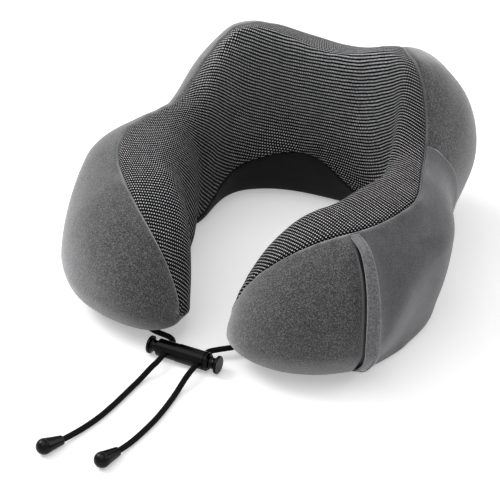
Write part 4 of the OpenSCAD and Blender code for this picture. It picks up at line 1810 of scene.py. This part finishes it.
@dataclass
class Pocket:
    """The flat pocket on the right side, with a folded hem at its mouth.

    Lengths are in mm, the hem's width, the stitches' margin and beside in degrees, and
    rows and columns count points. The stitches run between two shares of the height.
    """

    form: PillowForm
    line: PocketLine
    cover: Cover
    finishes: Finishes
    hem: float = 3.4
    hem_lift: float = 0.8
    hem_layers: float = 1.9
    under_hem: float = 0.8
    lie: float = 0.5
    cloth: float = 1.2
    sewn: float = 0.2
    foot_ramp: float = 0.5
    gape: float = 4.4
    gape_reach: float = 30.0
    pulled: int = 500
    rows: int = 66
    panel_columns: int = 60
    hem_columns: int = 12
    fitting: int = 3
    stitch_pitch: float = 3.4
    stitch_r: float = 0.42
    stitch_lift: float = 0.9
    stitch_margin: float = 0.5
    stitch_run: tuple[float, float, int] = (0.02, 0.98, 600)
    beside: float = 0.5

    def rise(self, angle: np.ndarray, lane: np.ndarray) -> np.ndarray:
        """How far the pocket's face lies above the side panel.

        It hugs the side at its sewn edges, draws in with it over its middle, and gapes
        towards the mouth, most near the top.

        Args:
            angle: Angles in degrees.
            lane: Lanes.

        Returns:
            The rise in mm.
        """
        share = self.line.share(angle, lane)
        near = ease(1 - (self.line.mouth_at(lane) - angle) / self.gape_reach)
        free = self.free(share)
        flush = self.cloth * (self.sewn + (1 - self.sewn) * free)
        return flush + self.lie * free + self.gape * free * (1 - share) * near

    def free(self, share: np.ndarray) -> np.ndarray:
        """How far the cloth may stand off between its sewn top and foot, from 0 to 1."""
        return ease(share / self.line.top_ramp) * ease((1 - share) / self.foot_ramp)

    def tight(self, grid: np.ndarray, angle: np.ndarray, lane: np.ndarray,
              height: np.ndarray) -> np.ndarray:
        """Draws cloth tight between its edges, without going into the side panel.

        Every inner point goes time after time towards the middle of its neighbours, in
        or out along the form's normal.

        Args:
            grid: (rows, columns, 3) points in mm.
            angle: Their angles in degrees.
            lane: Their lanes.
            height: How far above the form they lie, in mm.

        Returns:
            The drawn points.
        """
        normals = grid_normals(self.form.points(angle, lane), self.form.centre(angle[:, 0]))
        under = grid - normals * height[..., None]
        least = (self.cloth + self.lie - self.line.dent(angle, lane))[1:-1, 1:-1]
        height = height.copy()
        inner = height[1:-1, 1:-1]
        for _ in range(self.pulled):
            middle = (grid[2:, 1:-1] + grid[:-2, 1:-1]
                      + grid[1:-1, 2:] + grid[1:-1, :-2]) / 4
            move = np.sum((middle - grid[1:-1, 1:-1]) * normals[1:-1, 1:-1], axis=2)
            inner[...] = np.maximum(inner + move, least)
            grid = under + normals * height[..., None]
        grid[..., 2] = np.maximum(grid[..., 2], self.cover.rest_gap)
        return grid

    def patch(self, share: np.ndarray, spec: ClothSpec, lift: float = 0.0,
              drawn: bool = False) -> bpy.types.Object:
        """A piece of the pocket between two lines of angle.

        Only its rear seam counts as a rim, for its finish's painted highlight.

        Args:
            share: (n,) how far each column is from the rear seam (0) to the mouth (1).
            spec: How it is cut.
            lift: Extra rise in mm.
            drawn: Whether it is drawn tight.

        Returns:
            The piece.
        """
        down = crowded(self.rows, pull=1.0)[None, :]
        columns = self.line.start + (self.line.mouth - self.line.start) * share[:, None]
        for _ in range(self.fitting):
            lane = self.line.lanes(columns, down)
            reach = self.line.mouth_at(lane) - self.line.start
            columns = self.line.start + reach * share[:, None]
        rise = self.rise(columns, lane) + lift * self.free(down)
        grid, rim = self.cover.shaped(spec, columns, lane, every_face(lane), rise)
        if drawn:
            grid = self.tight(grid, columns, lane, rise)
        back = self.form.points(self.line.start, lane) - self.form.points(columns, lane)
        rim[..., 0] = np.linalg.norm(back, axis=2) * MM
        return grid_object(spec.name, grid, self.form.centre(columns[:, 0]),
                           layers={"rim": rim})

    def build(self, camera: PhotoCamera) -> None:
        """Makes the panel, the hem and the hem's stitching.

        Args:
            camera: Places the stitching by its image point.
        """
        fold = self.hem / (self.line.mouth - self.line.start)
        panel_spec = ClothSpec("pocket_front", "pocket_panel", "velour", (138, 125), 0.82,
                               thickness=self.cloth, roll=3.0, sink=2.0, pucker=0.35,
                               lumps=0.5, held=Hold.LAID)
        columns = (1 - self.under_hem * fold) * crowded(self.panel_columns, pull=1.0)
        panel = self.patch(columns, panel_spec, drawn=True)
        hem_spec = ClothSpec("pocket_hem_fold", "pocket_hem", "velour", (11, 118), 0.85,
                             thickness=self.cloth * self.hem_layers, roll=1.8, sink=1.1,
                             pucker=0.0, lumps=0.5, held=Hold.LAID)
        hem = self.patch(1 - fold + fold * crowded(self.hem_columns, pull=1.2), hem_spec,
                         self.hem_lift)
        stitches = self.stitching(camera, hem)
        self.cover.finish(panel, panel_spec, self.finishes.pocket_velour_painted_light)
        self.cover.finish(hem, hem_spec, self.finishes.hem_velour_painted_light, [stitches])

    def stitching(self, camera: PhotoCamera, hem: bpy.types.Object) -> bpy.types.Object:
        """A row of stitches along the hem, set in from the mouth as in the photograph.

        Args:
            camera: The photograph's camera.
            hem: What carries the stitches.

        Returns:
            The stitching.
        """
        place = camera.hit(*IMAGE_POINTS["hem_stitch"], hem)
        turn = math.degrees(math.atan2(place[0], place[1] - self.form.centre_y))
        lanes = self.line.lanes(turn, np.linspace(*self.stitch_run))
        here = lanes[np.argmin(np.abs(self.form.points(turn, lanes)[:, 2] - place[2]))]
        margin = self.stitch_margin
        inset = float(np.clip(self.line.mouth_at(here) - turn, margin, self.hem - margin))
        angle = self.line.mouth_at(lanes) - inset
        grid = self.form.points(
            np.stack([angle - self.beside, angle, angle + self.beside]),
            np.stack([lanes] * 3))
        normal = grid_normals(grid, self.form.centre(angle[:3]))[1]
        line = grid[1] + normal * (self.rise(angle, lanes) + self.stitch_lift)[:, None]
        piece = stitch_row("pocket_hem_stitching", line, normal, self.stitch_pitch,
                           self.stitch_r)
        piece.data.materials.append(self.finishes.hem_thread)
        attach(piece, BODY)
        LOG.info("pocket_hem_stitching: %d faces", len(piece.data.polygons))
        return piece


def stitch_row(name: str, line: np.ndarray, normal: np.ndarray, pitch: float,
               radius: float, fill: float = 0.72, rings: int = 7,
               sides: int = 6) -> bpy.types.Object:
    """Stitches along a line: short arcs of thread that dive in at both ends.

    Each is a tube whose height is an arch, radius * (1.6 * sin(pi * t) - 0.8), and whose
    radius goes from 0.35 of its own at the ends to all of it in the middle.

    Args:
        name: The piece's name.
        line: (n, 3) points in mm.
        normal: (n, 3) unit normals.
        pitch: Spacing in mm.
        radius: Thread radius in mm.
        fill: Share of the pitch that shows as thread.
        rings: Rings along a stitch.
        sides: Sides of its tube.

    Returns:
        The stitches as one piece.
    """
    arch_high, dive, end_share = 1.6, 0.8, 0.35
    gone = distance_gone(line)
    count = int(gone[-1] // pitch)
    t = np.linspace(0, 1, rings)
    at = (np.arange(count)[:, None] + 0.5 + (t[None, :] - 0.5) * fill) * pitch
    spot, out = along_line(at, gone, line), along_line(at, gone, normal)
    along = spot[:, -1:] - spot[:, :1]
    along = along / np.linalg.norm(along, axis=2, keepdims=True)
    side = np.cross(out, along)
    arch = np.sin(np.pi * t)[None, :, None]
    spot = spot + out * (arch * radius * arch_high - radius * dive)
    thin = radius * (end_share + (1 - end_share) * arch)
    around = np.linspace(0, math.tau, sides, endpoint=False)
    ring = (np.cos(around)[:, None] * side[:, :, None]
            + np.sin(around)[:, None] * out[:, :, None])
    points = spot[:, :, None] + ring * thin[..., None]
    first = np.arange(count)[:, None, None] * rings * sides
    faces = (grid_quads(rings, sides, wrap=True)[None] + first).reshape(-1, 4)
    return mesh_object(name, points.reshape(-1, 3), faces[:, ::-1])


# ---------------------------------------------------------------- drawstring

@dataclass
class Drawstring:
    """The two cord ends, run from the noses through the lock to their bells.

    The routes repeat the CAD's own points, in metres, and bow a little past the lock.

    The diameter and the rings' spacing are in mm.
    """

    finishes: Finishes
    diameter: float = 3.6
    sides: int = 16
    spacing: float = 1.0
    left: tuple[tuple[float, float, float], ...] = (
        (-0.0378, -0.1174, 0.0089), (-0.034, -0.1174, 0.0074), (-0.03, -0.1173, 0.0066),
        (-0.026, -0.1173, 0.0062), (-0.022, -0.118, 0.0062), (-0.0186, -0.1204, 0.0062),
        (-0.017, -0.1244, 0.0062), (-0.017, -0.134, 0.0062), (-0.017, -0.143, 0.0062),
        (-0.018, -0.148, 0.0055), (-0.0195, -0.154, 0.0036), (-0.0205, -0.16, 0.0024),
        (-0.0212, -0.166, 0.0021), (-0.0219, -0.176, 0.0021), (-0.023, -0.188, 0.0021),
        (-0.0248, -0.2, 0.0021), (-0.0281, -0.213, 0.0023), (-0.0326, -0.2267, 0.0032),
        (-0.0354, -0.2331, 0.0043))
    right: tuple[tuple[float, float, float], ...] = (
        (0.0317, -0.1048, 0.0087), (0.0285, -0.1051, 0.0078), (0.025, -0.1055, 0.007),
        (0.021, -0.107, 0.0064), (0.0179, -0.1102, 0.0062), (0.0152, -0.1126, 0.0062),
        (0.012, -0.1152, 0.0062), (0.0089, -0.1179, 0.0062), (0.0073, -0.1196, 0.0062),
        (0.0063, -0.1217, 0.0062), (0.006, -0.124, 0.0062), (0.006, -0.134, 0.0062),
        (0.006, -0.143, 0.0062), (0.0058, -0.149, 0.0053), (0.0056, -0.155, 0.0035),
        (0.0057, -0.161, 0.0024), (0.006, -0.167, 0.0021), (0.0064, -0.176, 0.0021),
        (0.0064, -0.185, 0.0021), (0.0058, -0.194, 0.0021), (0.0046, -0.204, 0.0021),
        (0.0033, -0.212, 0.0023), (0.0014, -0.2211, 0.0032), (-0.0004, -0.2279, 0.0043))

    def build(self) -> None:
        for label, route in (("left", self.left), ("right", self.right)):
            path = smooth_path(np.array(route) / MM, self.spacing)
            piece = self.tube(f"drawstring_{label}", path)
            piece.data.materials.append(self.finishes.cord)
            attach(piece, BODY)
            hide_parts(f"cord_{label}")

    def tube(self, name: str, path: np.ndarray) -> bpy.types.Object:
        """A round tube with closed ends and a UV map in metres for its braid.

        Each ring is path + radius * (side * cos a + over * sin a), side and over square
        to the path and turned as little as possible from ring to ring.

        Args:
            name: The piece's name.
            path: (n, 3) points in mm.

        Returns:
            The tube.
        """
        radius = self.diameter / 2
        along = np.gradient(path, axis=0)
        along /= np.linalg.norm(along, axis=1, keepdims=True)
        side = np.cross(along, [0.0, 0.0, 1.0])
        side /= np.linalg.norm(side, axis=1, keepdims=True)
        over = np.cross(side, along)
        around = np.linspace(0, math.tau, self.sides + 1)
        rings = path[:, None] + radius * (side[:, None] * np.cos(around)[:, None]
                                          + over[:, None] * np.sin(around)[:, None])
        caps = [np.repeat(path[k][None, None], self.sides + 1, axis=1) for k in (0, -1)]
        rings = np.concatenate([caps[0], rings, caps[1]])
        gone = distance_gone(path)
        gone = np.concatenate([[-radius], gone, [gone[-1] + radius]])
        laid = np.stack(np.broadcast_arrays(
            radius * around[None, :], gone[:, None]), axis=-1) * MM
        inside = np.concatenate([path[:1], path, path[-1:]])[:, None]
        return grid_object(name, rings, inside, layers={"braid": laid})


def smooth_path(points: np.ndarray, spacing: float, parts: int = 12) -> np.ndarray:
    """A smooth curve through points: Catmull-Rom spans, resampled to even spacing.

    Args:
        points: (n, 3) array in mm.
        spacing: In mm.
        parts: Steps that each span is worked out in.

    Returns:
        (m, 3) array in mm.
    """
    padded = np.concatenate([[2 * points[0] - points[1]], points,
                             [2 * points[-1] - points[-2]]])
    t = np.linspace(0, 1, parts, endpoint=False)[None, :, None]
    a, b, c, d = (padded[k:len(padded) - 3 + k][:, None] for k in range(4))
    curve = 0.5 * (2 * b + (c - a) * t + (2 * a - 5 * b + 4 * c - d) * t ** 2
                   + (3 * b - a - 3 * c + d) * t ** 3)
    curve = np.concatenate([curve.reshape(-1, 3), points[-1:]])
    gone = distance_gone(curve)
    even = np.linspace(0, gone[-1], max(round(gone[-1] / spacing), 2) + 1)
    return along_line(even, gone, curve)


# ---------------------------------------------------------------- fittings from the CAD

@dataclass
class Fittings:
    """The moulded, cast and knotted pieces whose CAD shape stays: better surfaces only.

    The rounding is in mm, and the sharp angle past which it is made in degrees.
    """

    finishes: Finishes
    rounding: float = 0.18
    sharp: float = 35.0
    segments: int = 2

    def build(self) -> None:
        """Gives each node its finish and edges softened by angle, their normals hardened.
        """
        finish = self.finishes
        plan = {
            finish.lock: ("lock_barrel", "lock_plunger_left", "lock_plunger_right"),
            finish.bell: ("bell_left", "bell_right", "bell_cap_left", "bell_cap_right"),
            finish.spring: ("lock_spring",),
            finish.zip_metal: ("zip_stop_left", "zip_stop_right", "zip_slider", "zip_pull"),
            finish.coil: ("zip_teeth_upper", "zip_teeth_lower"),
            finish.tape: ("zip_tape_upper", "zip_tape_lower"),
            finish.dark_thread: ("knot_left", "knot_right")}
        for material, nodes in plan.items():
            for node in nodes:
                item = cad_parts[node]
                for slot in item.material_slots:
                    slot.material = material
                self.soften(item)
                LOG.info("%s: %s", node, material.name)

    def soften(self, item: bpy.types.Object) -> None:
        """Rounds sharp edges a little and hardens the normals, by a modifier only.

        Args:
            item: A CAD object.
        """
        bevel = item.modifiers.new("moulded_edges", "BEVEL")
        bevel.width = self.rounding * MM
        bevel.segments = self.segments
        bevel.limit_method = "ANGLE"
        bevel.angle_limit = math.radians(self.sharp)
        bevel.harden_normals = True


# ---------------------------------------------------------------- image points

SEAM_SPANS = {
    "seam_right_hump": (20, 75), "seam_left_hump": (-110, -40),
    "seam_left_low": (-170.9, -110), "seam_right_front": (100, 170.9)}
BAND_SPAN = 60  # the band's edge is searched this many degrees each way
SEAM_DEPTH = 0.8  # the seams are taken this far inside the cover's surface, in mm
SEAM_SAMPLES, MOUTH_SAMPLES, BAND_SAMPLES = 400, 200, 300
MOUTH_OUT = 1.0  # the mouth's edge is taken this far over the pocket's panel, in mm
KNOB_LEFT_X, KNOB_RIGHT_X = -29, 17  # the lock's knobs lie past these, in mm


def nearest_gap(camera: PhotoCamera, points: np.ndarray, name: str) -> np.ndarray:
    """How far the nearest of some points shows from an image point.

    Args:
        camera: The photograph's camera.
        points: (n, 3) array in mm.
        name: The image point's name.

    Returns:
        The gap in x and y, in pixels.
    """
    gap = camera.project(points) - IMAGE_POINTS[name]
    return gap[np.argmin(np.linalg.norm(gap, axis=1))]


def measure_points(camera: PhotoCamera, form: PillowForm, pocket: Pocket,
                   cover: Cover) -> dict[str, list[float]]:
    """How far each thing shows from its image point.

    Args:
        camera: The photograph's camera.
        form: The pillow's form.
        pocket: The pocket.
        cover: The cover's panels.

    Returns:
        Offsets in x and y, in pixels, by name.
    """
    seen = camera.project(np.concatenate([vertex_points(p) for p in cover.pieces.values()]))
    low, high = seen.min(axis=0), seen.max(axis=0)
    offsets = {
        "left": [low[0] - IMAGE_EDGES["left"], 0.0],
        "right": [high[0] - IMAGE_EDGES["right"], 0.0],
        "top": [0.0, low[1] - IMAGE_EDGES["top"]],
        "bottom": [0.0, high[1] - IMAGE_EDGES["bottom"]]}
    lines = {}
    for name, span in SEAM_SPANS.items():
        angle = np.linspace(*span, SEAM_SAMPLES)
        lines[name] = form.points(angle, form.seam(angle), SEAM_DEPTH)
    line = pocket.line
    lane = line.lanes(line.mouth, np.linspace(0, 1, MOUTH_SAMPLES))
    edge = line.mouth_at(lane)
    lines["pocket_mouth"] = form.points(edge, lane, -pocket.rise(edge, lane) - MOUTH_OUT)
    lines["pocket_rear_seam"] = form.points(line.start, lane)
    band = form.band_middle + np.linspace(-BAND_SPAN, BAND_SPAN, BAND_SAMPLES)
    lines["neck_band_edge"] = form.points(band, form.band(band), SEAM_DEPTH)
    for name, run in lines.items():
        offsets[name] = nearest_gap(camera, run, name)
    parts = {
        "lock_left_knob": ("lock_plunger_left",),
        "lock_right_knob": ("lock_plunger_right",),
        "bell_left": ("bell_left", "bell_cap_left"),
        "bell_right": ("bell_right", "bell_cap_right")}
    for name, nodes in parts.items():
        points = np.concatenate([vertex_points(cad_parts[n]) for n in nodes])
        if name == "lock_left_knob":
            points = points[points[:, 0] < KNOB_LEFT_X]
        elif name == "lock_right_knob":
            points = points[points[:, 0] > KNOB_RIGHT_X]
        spots = camera.project(points)
        offsets[name] = (spots.min(axis=0) + spots.max(axis=0)) / 2 - IMAGE_POINTS[name]
    stitches = vertex_points(bpy.data.objects["pocket_hem_stitching"])
    offsets["hem_stitch"] = nearest_gap(camera, stitches, "hem_stitch")
    return {name: [round(float(v), 1) for v in pair] for name, pair in offsets.items()}


def main() -> None:
    """Builds the scene in order: camera, cords, cover, pocket, fittings and studio."""
    logging.basicConfig(level=logging.INFO, format="%(message)s")
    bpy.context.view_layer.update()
    camera = PhotoCamera()
    camera.build()
    finishes = Finishes()
    form = PillowForm()
    Drawstring(finishes).build()
    line = PocketLine(form)
    cover = Cover(form, line, finishes)
    cover.build()
    pocket = Pocket(form, line, cover, finishes)
    pocket.build(camera)
    Fittings(finishes).build()
    Studio().build()
    measure_points(camera, form, pocket, cover)


if __name__ == "__main__":
    main()
